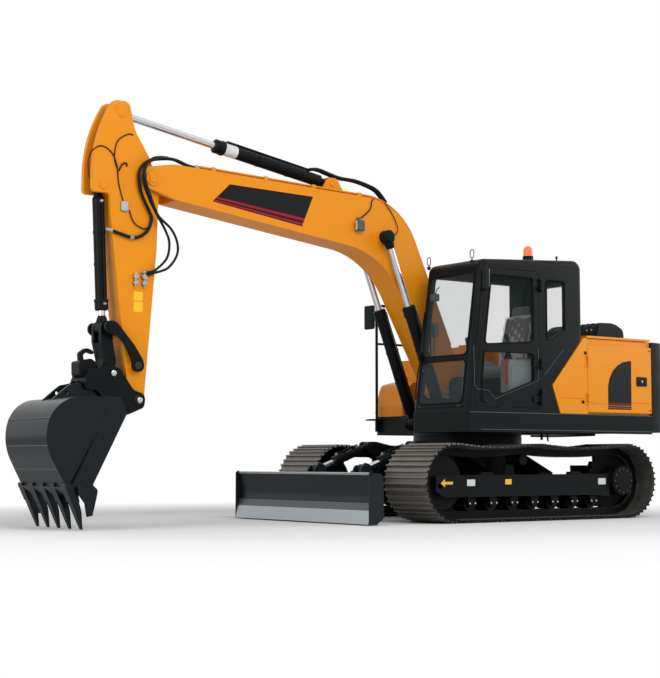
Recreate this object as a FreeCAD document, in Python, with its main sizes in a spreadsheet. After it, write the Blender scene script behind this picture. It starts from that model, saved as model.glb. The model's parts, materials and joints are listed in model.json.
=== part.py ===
import FreeCAD, Part
import math
import os

import Sketcher

# Crawler excavator with a dozer blade, 13.5 t class.  Millimetres.
# While it is drawn, X is forward, Y to the left, Z up, the swing axis is X = Y = 0 and the
# ground is Z = 0.  At the end every sub-part is shifted so that the origin lies under the
# middle of the whole machine's box.

V = FreeCAD.Vector

SIZES = {
    # running clearances
    "pin_play": 0.05, "side_play": 6, "seat_gap": 0.3, "door_gap": 6,
    # crawler
    "track_gauge": 1990, "shoe_width": 700, "axle_base": 2642, "idler_x": 1345, "axle_z": 425,
    "chain_radius": 355, "link_rise": 40, "plate_thick": 10, "grouser_high": 20,
    "grouser_wide": 13, "link_depth": 45, "rail_offset": 80, "rail_wide": 40,
    "shoe_count": 44, "top_sag": 45, "carrier_x": 150, "carrier_drop": 13.5,
    "sprocket_teeth": 21, "sprocket_root": 322, "sprocket_tip": 362, "sprocket_wide": 56,
    "hub_radius": 165, "hub_out": 225, "motor_radius": 172,
    "roller_radius": 74, "roller_count": 7, "idler_flange": 16,
    "beam_half": 150, "beam_low": 270, "beam_high": 500, "beam_plate": 30,
    "beam_front": 1480, "beam_back": 915,
    # centre frame and slewing ring
    "centre_radius": 600, "centre_low": 420, "centre_high": 822, "leg_wide": 330, "leg_x": 470,
    "ring_outer": 630, "ring_mid": 530, "ring_inner": 430, "ring_high": 930, "ring_gap": 0.5,
    # dozer blade
    "blade_wide": 2490, "blade_pivot_x": 1010, "blade_pivot_z": 330, "blade_low": 10,
    "blade_top": 525, "blade_front": 2410, "blade_curve": 75, "blade_skin": 16,
    "blade_arm_y": 418, "blade_arm_wide": 90, "blade_ear_x": 1860, "blade_ear_z": 562,
    "blade_post_x": 1150, "blade_post_z": 812,
    # house
    "house_half": 1245, "deck_low": 960, "deck_top": 1180, "deck_skin": 12, "skirt_skin": 30,
    "cab_nose_x": 1117, "cab_right_y": 350, "deck_nose_x": 440, "deck_corner": 150,
    "house_rear": 1785, "tail_radius": 2190, "weight_low": 985, "hood_top": 2040,
    "bay_front": 720, "bay_skin": 25, "panel_skin": 30,
    # cab
    "cab_roof": 2925, "cab_roof_front": 2832, "cab_top_x": 887, "cab_rear": 655,
    "cab_rear_low": 2060, "cab_knee_x": 155, "cab_knee_z": 1491, "cab_foot_x": 275,
    "cab_skin": 45, "cab_round": 110, "cab_edge": 62, "glass_thick": 6,
    "door_rear_x": 30, "door_low": 1225, "door_top": 2745, "door_pillar": 105,
    # boom
    "boom_mid_y": -40, "boom_wide": 360, "foot_x": 330, "foot_z": 1500,
    "boom_reach": 3975, "boom_rise": 1988, "boom_back_x": 769, "boom_back_z": 2062,
    "boom_belly_x": 1020, "boom_belly_z": 1453, "foot_radius": 122, "foot_wide": 384,
    "box_plate": 16, "fork_plate": 50, "fork_deep": 285,
    "lift_base_x": 560, "lift_base_z": 1090, "lift_eye_x": 1365, "lift_eye_z": 3139,
    "lift_offset": 265,
    # arm, measured from the boom's tip pin
    "arm_wide": 244, "arm_lean": 131, "arm_long": 2238, "crown_x": 327, "crown_z": 659,
    "crowd_base_x": 1985, "crowd_base_z": 3705, "head_slot": 140,
    "curl_base_x": 524, "curl_base_z": -113,
    # bucket linkage, measured from the arm's lower pin
    "rocker_x": 18, "rocker_z": 343, "link_x": 325, "link_z": 712,
    "hitch_x": 280, "hitch_z": 260, "front_pin_x": 164, "front_pin_z": -85,
    "rear_pin_x": 522, "rear_pin_z": 118,
    "bucket_wide": 1030, "bucket_skin": 22, "bucket_taper": 60, "tooth_long": 412, "tooth_count": 5,
    # hydraulic cylinders
    "lift_barrel": 1388, "lift_tube": 66, "lift_rod": 37,
    "crowd_barrel": 1512, "crowd_tube": 66, "crowd_rod": 38,
    "curl_barrel": 1240, "curl_tube": 59, "curl_rod": 33,
    "blade_barrel": 515, "blade_tube": 50, "blade_rod": 28,
    "gland_long": 60, "piston_long": 40,
    "lift_left": 236, "crowd_left": 214, "curl_left": 812, "blade_left": 133,
}


class Dim:
    """A length, kept as a number together with the sheet expression that gives it."""

    def __init__(self, value, text):
        self.value = float(value)
        self.text = text

    def _with(self, other, sign, value):
        return Dim(value, "(%s %s %s)" % (self.text, sign, dim(other).text))

    def __add__(self, other):
        return self._with(other, "+", self.value + dim(other).value)

    def __sub__(self, other):
        return self._with(other, "-", self.value - dim(other).value)

    def __mul__(self, other):
        return self._with(other, "*", self.value * dim(other).value)

    def __truediv__(self, other):
        return self._with(other, "/", self.value / dim(other).value)

    def __radd__(self, other):
        return dim(other) + self

    def __rsub__(self, other):
        return dim(other) - self

    def __rmul__(self, other):
        return dim(other) * self

    def __neg__(self):
        return dim(0) - self


def dim(number):
    return number if isinstance(number, Dim) else Dim(number, repr(float(number)))


class Sizes:
    """The spreadsheet: every alias is an attribute that holds a Dim."""

    def __init__(self, doc):
        self.sheet = doc.addObject("Spreadsheet::Sheet", "Sizes")
        for row, (alias, number) in enumerate(SIZES.items(), 1):
            self.sheet.set("A%d" % row, str(number))
            self.sheet.setAlias("A%d" % row, alias)
            setattr(self, alias, Dim(number, "Sizes." + alias))


DOC = FreeCAD.newDocument("Excavator")
S = Sizes(DOC)
DOC.recompute()

SUBPARTS = []


def bind(thing, field, size):
    """Set a property, and bind it to the sheet where the size comes from there."""
    size = dim(size)
    number = size.value
    if isinstance(getattr(thing, field), int):
        number = int(round(number))
    setattr(thing, field, number)
    if "Sizes." in size.text:
        thing.setExpression(field, size.text)


# ---------------------------------------------------------------- sketches and features

PLANES = {"side": "XZ_Plane", "plan": "XY_Plane", "front": "YZ_Plane"}


def new_body(label):
    body = DOC.addObject("PartDesign::Body", label)
    body.Label = label
    body.AllowCompound = True
    SUBPARTS.append(body)
    return body


def arc_points(before, corner, after, radius):
    """Tangent points and middle of the arc that rounds a corner."""
    back = (before - corner).normalize()
    ahead = (after - corner).normalize()
    half = back.getAngle(ahead) / 2
    run = radius / math.tan(half)
    centre = corner + (back + ahead).normalize() * (radius / math.sin(half))
    middle = centre + (corner - centre).normalize() * radius
    return corner + back * run, middle, corner + ahead * run


def draw_outline(sketch, corners):
    """A closed outline of straight runs; a corner with a third number is rounded by it."""
    count = len(corners)
    points = [V(dim(c[0]).value, dim(c[1]).value, 0) for c in corners]
    ends = []
    for i, corner in enumerate(corners):
        if len(corner) == 3:
            ends.append(arc_points(points[i - 1], points[i], points[(i + 1) % count],
                                   dim(corner[2]).value))
        else:
            ends.append((points[i], None, points[i]))
    lines = []
    for i in range(count):
        run = Part.LineSegment(ends[i][2], ends[(i + 1) % count][0])
        lines.append(sketch.addGeometry(run, False))
    ties = []
    sized = []
    for i, corner in enumerate(corners):
        before, after = lines[i - 1], lines[i]
        holder = (after, 1)
        if len(corner) == 3:
            arc = sketch.addGeometry(Part.Arc(*ends[i]), False)
            holder = (sketch.addGeometry(Part.Point(points[i]), True), 1)
            forward = sketch.getPoint(arc, 1).distanceToPoint(ends[i][0]) < 1e-6
            first, last = (1, 2) if forward else (2, 1)
            ties.append(Sketcher.Constraint("Tangent", before, 2, arc, first))
            ties.append(Sketcher.Constraint("Tangent", arc, last, after, 1))
            ties.append(Sketcher.Constraint("PointOnObject", holder[0], 1, before))
            ties.append(Sketcher.Constraint("PointOnObject", holder[0], 1, after))
            radius = dim(corner[2])
            sized.append((Sketcher.Constraint("Radius", arc, radius.value), radius))
        else:
            ties.append(Sketcher.Constraint("Coincident", before, 2, after, 1))
        sized.append((Sketcher.Constraint("DistanceX", -1, 1, *holder, points[i].x), corner[0]))
        sized.append((Sketcher.Constraint("DistanceY", -1, 1, *holder, points[i].y), corner[1]))
    sketch.addConstraint(ties)
    size_constraints(sketch, sized)


def draw_circle(sketch, x, y, radius):
    x, y, radius = dim(x), dim(y), dim(radius)
    middle = V(x.value, y.value, 0)
    ring = sketch.addGeometry(Part.Circle(middle, V(0, 0, 1), radius.value), False)
    size_constraints(sketch, [
        (Sketcher.Constraint("Radius", ring, radius.value), radius),
        (Sketcher.Constraint("DistanceX", -1, 1, ring, 3, x.value), x),
        (Sketcher.Constraint("DistanceY", -1, 1, ring, 3, y.value), y)])


def size_constraints(sketch, sized):
    for constraint, size in sized:
        number = sketch.addConstraint(constraint)
        text = dim(size).text
        if "Sizes." in text:
            sketch.setExpression("Constraints[%d]" % number, text)


def new_sketch(body, loops, plane="side", at=0):
    """Sketch on one of the body's own planes, moved to the level AT along +Y, +Z or +X."""
    role = PLANES[plane]
    support = [f for f in body.Origin.OriginFeatures if f.Role == role][0]
    sketch = body.newObject("Sketcher::SketchObject", body.Label + "_outline")
    sketch.AttachmentSupport = [(support, "")]
    sketch.MapMode = "FlatFace"
    level = -dim(at) if plane == "side" else dim(at)
    sketch.AttachmentOffset = FreeCAD.Placement(V(0, 0, level.value), FreeCAD.Rotation())
    if "Sizes." in level.text:
        sketch.setExpression(".AttachmentOffset.Base.z", level.text)
    for loop in loops:
        if isinstance(loop, tuple):
            draw_circle(sketch, *loop)
        else:
            draw_outline(sketch, loop)
    return sketch


def add_pad(body, loops, thick, plane="side", at=0):
    """Material of this thickness, half on each side of the level AT."""
    sketch = new_sketch(body, loops, plane, at)
    pad = body.newObject("PartDesign::Pad", body.Label + "_pad")
    pad.Profile = sketch
    pad.SideType = "Symmetric"
    bind(pad, "Length", thick)
    return pad


def add_cut(body, loops, thick, plane="side", at=0):
    sketch = new_sketch(body, loops, plane, at)
    cut = body.newObject("PartDesign::Pocket", body.Label + "_cut")
    cut.Profile = sketch
    cut.SideType = "Symmetric"
    bind(cut, "Length", thick)
    return cut


def add_turned(body, loops, at=0):
    """Revolve an outline in the side view about the line z = 0 at the level y = AT."""
    sketch = new_sketch(body, loops, "side", at)
    turned = body.newObject("PartDesign::Revolution", body.Label + "_turned")
    turned.Profile = sketch
    turned.ReferenceAxis = (sketch, ["H_Axis"])
    turned.Angle = 360
    return turned


def box_loop(x0, y0, x1, y1, radius=None):
    corners = [(x0, y0), (x1, y0), (x1, y1), (x0, y1)]
    return [c + (radius,) for c in corners] if radius is not None else corners


def place_along(body, base, target):
    """Turn a body drawn along +X so that it points from one pin to another."""
    rise = (target[1] - base[1]).value
    run = (target[0] - base[0]).value
    turn = FreeCAD.Rotation(V(0, 1, 0), -math.degrees(math.atan2(rise, run)))
    body.Placement = FreeCAD.Placement(V(base[0].value, 0, base[1].value), turn)


def span(a, b):
    """Distance between two pins, as a Dim."""
    run, rise = b[0] - a[0], b[1] - a[1]
    text = "sqrt(%s ^ 2 + %s ^ 2)" % (run.text, rise.text)
    return Dim(math.hypot(run.value, rise.value), text)


# ---------------------------------------------------------------- pins in the side view

FOOT = (S.foot_x, S.foot_z)
TIP = (S.foot_x + S.boom_reach, S.foot_z + S.boom_rise)
LIFT_BASE = (S.lift_base_x, S.lift_base_z)
LIFT_EYE = (S.lift_eye_x, S.lift_eye_z)
CROWD_BASE = (S.crowd_base_x, S.crowd_base_z)
CROWN = (TIP[0] + S.crown_x, TIP[1] + S.crown_z)
CURL_BASE = (TIP[0] + S.curl_base_x, TIP[1] + S.curl_base_z)
ARM_END = (TIP[0] + S.arm_lean, TIP[1] - S.arm_long)
ROCKER = (ARM_END[0] + S.rocker_x, ARM_END[1] + S.rocker_z)
LINK_TOP = (ARM_END[0] + S.link_x, ARM_END[1] + S.link_z)
HITCH = (ARM_END[0] + S.hitch_x, ARM_END[1] + S.hitch_z)
FRONT_PIN = (ARM_END[0] + S.front_pin_x, ARM_END[1] + S.front_pin_z)
REAR_PIN = (ARM_END[0] + S.rear_pin_x, ARM_END[1] + S.rear_pin_z)
BLADE_PIVOT = (S.blade_pivot_x, S.blade_pivot_z)
BLADE_POST = (S.blade_post_x, S.blade_post_z)
BLADE_EAR = (S.blade_ear_x, S.blade_ear_z)
LIFT_HOLE = (ARM_END[0] + 760, ARM_END[1] + 60)
LIFT_HOLE_R = 18.0
TIE_HOLE = (S.beam_front - 55, (S.beam_low + S.beam_high) / 2)
TIE_HOLE_R = 26.0

# hinge axes that stand outside their panels: (x, y) of the doors, (x, z) of the hood
DOOR_HINGE = (S.door_rear_x - 8, S.house_half + 24)
SIDE_HINGE = (-S.bay_front - S.door_gap / 2, S.house_half + 12)
HOOD_HINGE = (-S.bay_front - S.door_gap / 2, S.hood_top + S.door_gap + 26 + 12)
HOOD_HINGES_Y = (-900, 0, 900)


# ---------------------------------------------------------------- crawler

def chain_path(count):
    """Pin positions of the track chain, evenly spaced round sprocket, idler and carrier."""
    radius = S.chain_radius.value
    front = V(S.idler_x.value, S.axle_z.value, 0)
    rear = front - V(S.axle_base.value, 0, 0)
    carrier = V(S.carrier_x.value, front.y + radius, 0)
    points = []
    steps = 60
    for i in range(steps):
        turn = math.pi / 2 + math.pi * i / steps
        points.append(rear + V(math.cos(turn), math.sin(turn), 0) * radius)
    for i in range(steps):
        turn = -math.pi / 2 + math.pi * i / steps
        points.append(front + V(math.cos(turn), math.sin(turn), 0) * radius)
    for start, end in ((front + V(0, radius, 0), carrier), (carrier, rear + V(0, radius, 0))):
        for i in range(steps):
            part = i / steps
            dip = 4 * part * (1 - part) * S.top_sag.value
            points.append(start + (end - start) * part - V(0, dip, 0))
    loop = Part.makePolygon(points + [points[0]])
    spots = loop.discretize(Number=count + 1)[:-1]
    return [V(p.x, p.y, 0) for p in spots]


def ring_outline(pins, offsets):
    """Closed polygon that walks the chain; OFFSETS lists (part of the link, height)."""
    corners = []
    count = len(pins)
    for i, start in enumerate(pins):
        end = pins[(i + 1) % count]
        along = end - start
        outward = V(along.y, -along.x, 0).normalize()
        for part, rise in offsets:
            corners.append(start + along * part + outward * rise)
    return Part.makePolygon(corners + [corners[0]])


def slab(outer, inner, middle_y, wide):
    """Solid between two closed outlines of the side view, WIDE across."""
    ring = Part.Face(outer).cut(Part.Face(inner)).Faces[0]
    ring.rotate(V(0, 0, 0), V(1, 0, 0), 90)
    ring.translate(V(0, middle_y + wide / 2, 0))
    return ring.extrude(V(0, -wide, 0))


def tread_radius():
    """Smallest radius of the chain's tread where it bends round a wheel."""
    pins = chain_path(int(S.shoe_count.value))
    pitch = (pins[1] - pins[0]).Length
    size = S.chain_radius
    text = "sqrt(%s ^ 2 - %r ^ 2)" % (size.text, pitch / 2)
    flat = Dim(math.sqrt(size.value ** 2 - pitch ** 2 / 4), text)
    return (flat - S.link_depth) * (flat.value / size.value)


def make_track(side, label):
    """One closed loop: triple-grouser shoes over two chain rails."""
    pins = chain_path(int(S.shoe_count.value))
    pitch = (pins[1] - pins[0]).Length
    foot = S.link_rise.value
    face = foot + S.plate_thick.value
    crest = face + S.grouser_high.value
    half = S.grouser_wide.value / 2 / pitch
    lean = half * 0.6
    shoe = [(0.03, foot), (0.03, face)]
    for middle in (0.12, 0.5, 0.88):
        shoe += [(middle - half - lean, face), (middle - half, crest)]
        shoe += [(middle + half, crest), (middle + half + lean, face)]
    shoe += [(0.97, face), (0.97, foot)]
    outer = ring_outline(pins, shoe)
    under = ring_outline(pins, [(0.5, foot - 4)])
    middle_y = side * S.track_gauge.value / 2
    plates = slab(outer, under, middle_y, S.shoe_width.value)
    solid = plates
    depth = -S.link_depth.value
    bed = ring_outline(pins, [(0.5, foot - 2)])
    tread = ring_outline(pins, [(0.5, depth)])
    for across in (-1, 1):
        rail_y = middle_y + across * S.rail_offset.value
        solid = solid.fuse(slab(bed, tread, rail_y, S.rail_wide.value))
    track = DOC.addObject("Part::Feature", label)
    track.Label = label
    track.Shape = solid
    SUBPARTS.append(track)


def make_sprocket(side, label):
    """Drive wheel on the final drive, teeth between the chain rails."""
    body = new_body(label)
    mid = S.track_gauge / 2 * side
    wheel = (dim(0), dim(0))
    add_pad(body, [(wheel[0], wheel[1], S.sprocket_root)], S.sprocket_wide, at=mid)
    step = 360.0 / S.sprocket_teeth.value
    half = S.sprocket_root * (2 * math.sin(math.radians(step * 0.26)))
    tooth = [(S.sprocket_root - 12, -half), (S.sprocket_root - 12, half),
             (S.sprocket_tip, half * 0.42), (S.sprocket_tip, -half * 0.42)]
    blade = add_pad(body, [tooth], S.sprocket_wide, at=mid)
    ring = body.newObject("PartDesign::PolarPattern", label + "_teeth")
    ring.Originals = [blade]
    ring.Axis = (blade.Profile[0], ["N_Axis"])
    ring.Angle = 360
    bind(ring, "Occurrences", S.sprocket_teeth)
    body.Tip = ring
    hub_wide = S.hub_out + S.beam_half - S.seat_gap
    add_pad(body, [(wheel[0], wheel[1], S.hub_radius)], hub_wide,
            at=mid + (S.hub_out - S.beam_half + S.seat_gap) / 2 * side)
    body.Placement = FreeCAD.Placement(
        V((S.idler_x - S.axle_base).value, 0, S.axle_z.value), FreeCAD.Rotation())


def make_idler(side, label):
    """Front wheel: two treads for the rails, a raised flange between them, and its axle."""
    body = new_body(label)
    mid = S.track_gauge / 2 * side
    tread = tread_radius() - S.seat_gap - 0.4
    x, z = S.idler_x, S.axle_z
    add_pad(body, [(x, z, tread)], (S.rail_offset + S.rail_wide / 2) * 2, at=mid)
    add_pad(body, [(x, z, tread + S.idler_flange)],
            (S.rail_offset - S.rail_wide / 2) * 2 - 8, at=mid)
    add_pad(body, [(x, z, 45)], S.beam_half * 2 - S.seat_gap * 2, at=mid)


def roller_row(body, xs, z, side):
    """Rollers of one side, each on its axle between two collars under the beam."""
    mid = S.track_gauge / 2 * side
    wide = (S.rail_offset + S.rail_wide / 2) * 2
    top = S.beam_low - S.seat_gap
    for x in xs:
        add_pad(body, [(x, z, S.roller_radius)], wide, at=mid)
        add_pad(body, [(x, z, 28)], S.beam_half * 2 - 6, at=mid)
        collar = [(x - 58, top), (x - 50, z - 8, 30), (x - 28, z - 34, 20), (x + 28, z - 34, 20),
                  (x + 50, z - 8, 30), (x + 58, top)]
        for end in (-1, 1):
            add_pad(body, [collar], 34, at=mid + (S.beam_half - 23) * end)


def make_rollers():
    """Bottom rollers that run on the chain rails, seven a side."""
    body = new_body("track_rollers")
    count = int(S.roller_count.value)
    rear = S.idler_x - S.axle_base
    low = S.axle_z - S.chain_radius + S.link_depth + S.roller_radius + S.seat_gap + 0.7
    first, last = rear + 400, S.idler_x - 400
    for side in (1, -1):
        xs = [first + (last - first) * (i / (count - 1)) for i in range(count)]
        roller_row(body, xs, low, side)


def make_carriers():
    """One carrier roller a side under the top run."""
    body = new_body("carrier_rollers")
    top = S.axle_z + S.chain_radius - S.link_depth - S.carrier_drop
    for side in (1, -1):
        mid = S.track_gauge / 2 * side
        add_pad(body, [(S.carrier_x, top - 58, 58)],
                (S.rail_offset + S.rail_wide / 2) * 2, at=mid)
        add_pad(body, [(S.carrier_x, top - 58, 24)], S.beam_half + S.rail_offset + 25,
                at=mid - (S.beam_half - S.rail_offset - 20) / 2 * side)


def make_centre_frame():
    """Drum under the slewing ring, with four box legs out to the side frames."""
    body = new_body("centre_frame")
    add_pad(body, [(dim(0), dim(0), S.centre_radius)], S.centre_high - S.centre_low,
            "plan", (S.centre_high + S.centre_low) / 2)
    inner = S.track_gauge / 2 - S.beam_half - S.beam_plate - S.seat_gap
    for side in (1, -1):
        for x in (S.leg_x, -S.leg_x):
            near, far = (inner - 470) * side, inner * side
            leg = [(x - S.leg_wide / 2, near), (x + S.leg_wide / 2, near),
                   (x + S.leg_wide / 2, far), (x - S.leg_wide / 2, far)]
            add_pad(body, [leg], S.beam_high - S.beam_low - 60, "plan",
                    (S.beam_high + S.beam_low) / 2)
            brow = [(near, S.beam_high - 40), (far, S.beam_high - 40), (far, S.beam_high + 20),
                    (near, S.centre_high - 90)]
            add_pad(body, [brow], S.leg_wide - 120, "front", x)


def make_side_frames():
    """The two track beams: box, cheek plates, final drive housing and carrier post."""
    body = new_body("side_frames")
    rear = S.idler_x - S.axle_base
    for side in (1, -1):
        mid = S.track_gauge / 2 * side
        beam = [(-S.beam_back, S.beam_low), (S.idler_x - 330, S.beam_low),
                (S.idler_x - 330, S.beam_high), (-S.beam_back, S.beam_high)]
        add_pad(body, [beam], S.beam_half * 2, at=mid)
        for cheek in (1, -1):
            plate = [(rear + S.motor_radius, S.beam_low - 30), (rear + 420, S.beam_low),
                     (S.idler_x - 330, S.beam_low), (S.beam_front - 90, S.beam_low + 10),
                     (S.beam_front, S.beam_low + 60), (S.beam_front, S.beam_high),
                     (rear + S.motor_radius, S.beam_high)]
            add_pad(body, [plate], S.beam_plate, at=mid + (S.beam_half + S.beam_plate / 2) * cheek)
        add_cut(body, [(*TIE_HOLE, dim(TIE_HOLE_R))], S.beam_plate + 20,
                at=mid + (S.beam_half + S.beam_plate / 2) * side)
        drive = [(rear - 175, S.axle_z - 175, 120), (-S.beam_back + 60, S.axle_z - 175),
                 (-S.beam_back + 60, S.axle_z + 175), (rear - 175, S.axle_z + 175, 120)]
        add_pad(body, [drive], S.beam_plate,
                at=mid - (S.beam_half + S.beam_plate / 2) * side)
        axle = S.axle_z + S.chain_radius - S.link_depth - S.carrier_drop - 58
        post = [(S.carrier_x - 80, S.beam_high - 20), (S.carrier_x + 80, S.beam_high - 20),
                (S.carrier_x + 45, axle + 40, 40), (S.carrier_x - 45, axle + 40, 40)]
        level = mid - (S.beam_half - S.beam_plate / 2) * side
        add_pad(body, [post], S.beam_plate, at=level)
        add_cut(body, [(S.carrier_x, axle, 24 + S.seat_gap)], S.beam_plate + 10, at=level)


def make_blade_mount():
    """Cheeks in front of the centre frame that hold the blade's arms and cylinders."""
    body = new_body("blade_mount")
    back = S.leg_x + S.leg_wide / 2 + S.seat_gap
    nose = [(back, S.centre_low - 60), (S.blade_pivot_x - 60, S.blade_pivot_z - 85),
            (S.blade_pivot_x + 85, S.blade_pivot_z - 85, 70),
            (S.blade_pivot_x + 85, S.blade_pivot_z + 85, 70),
            (S.blade_pivot_x + 10, S.blade_post_z - 150),
            (S.blade_post_x + 65, S.blade_post_z - 40, 50),
            (S.blade_post_x + 65, S.blade_post_z + 58, 50),
            (S.blade_post_x - 65, S.blade_post_z + 58, 50), (back + 60, S.centre_high - 30),
            (back, S.centre_high - 60)]
    gap = S.blade_arm_wide / 2 + S.side_play
    for side in (1, -1):
        for cheek in (1, -1):
            level = S.blade_arm_y * side + (gap + 15) * cheek
            add_pad(body, [nose], 30, at=level)
    cross = box_loop(back, S.centre_low - 60, S.blade_pivot_x - 110, S.centre_low + 50)
    add_pad(body, [cross], (S.blade_arm_y + gap + 20) * 2, at=0)
    for side in (1, -1):
        for pin in (BLADE_PIVOT, BLADE_POST):
            add_pad(body, [(pin[0], pin[1], 30)], S.blade_arm_wide + S.side_play * 2 + 80,
                    at=S.blade_arm_y * side)


def make_swing_ring():
    """Outer race of the slewing ring, bolted on the centre drum."""
    body = new_body("swing_ring")
    mid = (S.centre_high + S.ring_high) / 2
    add_pad(body, [(dim(0), dim(0), S.ring_outer), (dim(0), dim(0), S.ring_mid)],
            S.ring_high - S.centre_high, "plan", mid)


# ---------------------------------------------------------------- hydraulic cylinders

def make_barrel(label, tube, rod, length, eye, eye_wide, pin, levels):
    """Tube with a bored base eye and a gland, drawn from its base pin along +X."""
    body = new_body(label)
    for level in levels:
        bore = rod + 12
        start = eye * 0.8
        neck = dim(eye_wide) / 2 - 4
        shape = [(start, dim(0)), (start, neck), (eye + 32, neck), (eye + 62, tube),
                 (length - 110, tube),
                 (length - 110, tube + 9), (length - 12, tube + 9), (length, tube - 3),
                 (length, rod + 0.5), (length - S.gland_long, rod + 0.5),
                 (length - S.gland_long, bore), (eye + 70, bore), (eye + 70, dim(0))]
        add_turned(body, [shape], level)
        add_pad(body, [(dim(0), dim(0), eye)], eye_wide, at=level)
        add_cut(body, [(dim(0), dim(0), pin + S.pin_play)], eye_wide + 20, at=level)
    return body


def make_rod(label, rod, gland, reach, left, eye, eye_wide, pin, pin_wide, levels):
    """Chrome rod with its eye and a short pin; the piston has LEFT to run to the gland."""
    body = new_body(label)
    for level in levels:
        inner = gland - reach - S.gland_long - S.piston_long - left - 6
        piston = rod + 11.5
        head = inner + S.piston_long
        shape = [(inner, dim(0)), (inner, piston), (head, piston), (head, rod),
                 (-eye * 0.7, rod), (-eye * 0.7, dim(0))]
        add_turned(body, [shape], level)
        neck = dim(eye_wide) / 2 - 1
        add_turned(body, [[(-eye - 32, dim(0)), (-eye - 32, rod + 4), (-eye - 14, neck),
                           (-eye * 0.6, neck), (-eye * 0.6, dim(0))]], level)
        add_pad(body, [(dim(0), dim(0), eye)], eye_wide, at=level)
        add_pad(body, [(dim(0), dim(0), pin)], pin_wide, at=level)
    return body


def ram(name, base, target, tube, rod, barrel, left, eye, eye_wide, pin, levels, plural=""):
    """Barrel and rod of one hydraulic cylinder, or of a pair; LEFT is the stroke still to run."""
    length = span(base, target)
    tube_body = make_barrel(name + "_barrel" + plural, tube, rod, barrel, eye, eye_wide, pin,
                            levels)
    rod_body = make_rod(name + "_rod" + plural, rod, barrel, length, left, eye, eye_wide, pin,
                        eye_wide + 8, levels)
    place_along(tube_body, base, target)
    place_along(rod_body, base, target)
    turn = rod_body.Placement.Rotation
    rod_body.Placement = FreeCAD.Placement(V(target[0].value, 0, target[1].value), turn)


def make_rams():
    mid = S.boom_mid_y
    ram("boom_cylinder", LIFT_BASE, LIFT_EYE, S.lift_tube, S.lift_rod, S.lift_barrel,
        S.lift_left, dim(74), dim(90), dim(36), (mid + S.lift_offset, mid - S.lift_offset), "s")
    ram("arm_cylinder", CROWD_BASE, CROWN, S.crowd_tube, S.crowd_rod, S.crowd_barrel,
        S.crowd_left, dim(74), dim(92), dim(36), (mid,))
    ram("bucket_cylinder", CURL_BASE, LINK_TOP, S.curl_tube, S.curl_rod, S.curl_barrel,
        S.curl_left, dim(62), dim(96), dim(32), (mid,))
    ram("blade_cylinder", BLADE_POST, BLADE_EAR, S.blade_tube, S.blade_rod, S.blade_barrel,
        S.blade_left, dim(54), S.blade_arm_wide - 6, dim(30), (S.blade_arm_y, -S.blade_arm_y), "s")


# ---------------------------------------------------------------- dozer blade

def make_blade():
    """Curved mouldboard with box ribs behind, end plates, and two push arms."""
    body = new_body("dozer_blade")
    x, low, high = S.blade_front, S.blade_low, S.blade_top
    bow = S.blade_curve
    middle = (low + high) / 2
    skin = [(x, low), (x - 22, low + 110), (x - bow, middle, 330), (x - 40, high - 30, 60),
            (x - 20, high), (x - 60, high), (x - 80, high - 30, 60),
            (x - bow - 36, middle, 300), (x - 62, low + 110), (x - 40, low)]
    add_pad(body, [skin], S.blade_wide)
    rib = [(x - 60, low + 60), (x - 60, high - 30), (x - 175, high - 70),
           (x - 175, low + 70)]
    for side in (1, -1):
        end = [(x, low), (x, high), (x - 175, high, 60), (x - 185, low + 60, 40),
               (x - 90, low)]
        add_pad(body, [end], S.blade_skin, at=(S.blade_wide - S.blade_skin) / 2 * side)
        for place in (0.30, 0.62):
            add_pad(body, [rib], S.blade_skin, at=S.blade_wide / 2 * place * side)
    add_pad(body, [box_loop(x - 180, low + 70, x - 90, low + 230)], S.blade_wide - 40)
    px, pz = BLADE_PIVOT
    ex, ez = BLADE_EAR
    arm = [(px, pz + 75, 60), (ex - 150, pz + 60), (ex - 60, ez + 50, 40), (ex + 60, ez + 50, 40),
           (ex + 200, pz + 110), (x - 130, pz + 60), (x - 130, low + 90), (ex, pz - 130, 200),
           (px, pz - 75, 60)]
    bore = (px, pz, dim(30) + S.pin_play)
    slot = [(ex - 190, pz + 75), (ex + 250, pz + 75), (ex + 250, ez + 120), (ex - 190, ez + 120)]
    for side in (1, -1):
        add_pad(body, [arm], S.blade_arm_wide, at=S.blade_arm_y * side)
        add_cut(body, [bore], S.blade_arm_wide + 20, at=S.blade_arm_y * side)
        add_cut(body, [slot], S.blade_arm_wide + 20, at=S.blade_arm_y * side)
        ear = [(ex - 120, pz + 40), (ex + 170, pz + 40), (ex + 60, ez + 45, 45),
               (ex - 60, ez + 45, 45)]
        gap = S.blade_arm_wide / 2 + S.side_play
        for cheek in (1, -1):
            level = S.blade_arm_y * side + (gap + 11) * cheek
            add_pad(body, [ear], 22, at=level)
        foot = box_loop(ex - 110, pz + 30, ex + 160, pz + 75)
        add_pad(body, [foot], (gap + 22) * 2, at=S.blade_arm_y * side)


# ---------------------------------------------------------------- house

def deck_outline(inset):
    half = S.house_half - inset
    return [(S.cab_nose_x - inset, half, 40), (-S.house_rear, half), (-S.house_rear, -half),
            (S.deck_nose_x - inset, -half, S.deck_corner), (S.deck_nose_x - inset, S.cab_right_y + inset),
            (S.cab_nose_x - inset, S.cab_right_y + inset, 40)]


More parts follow.
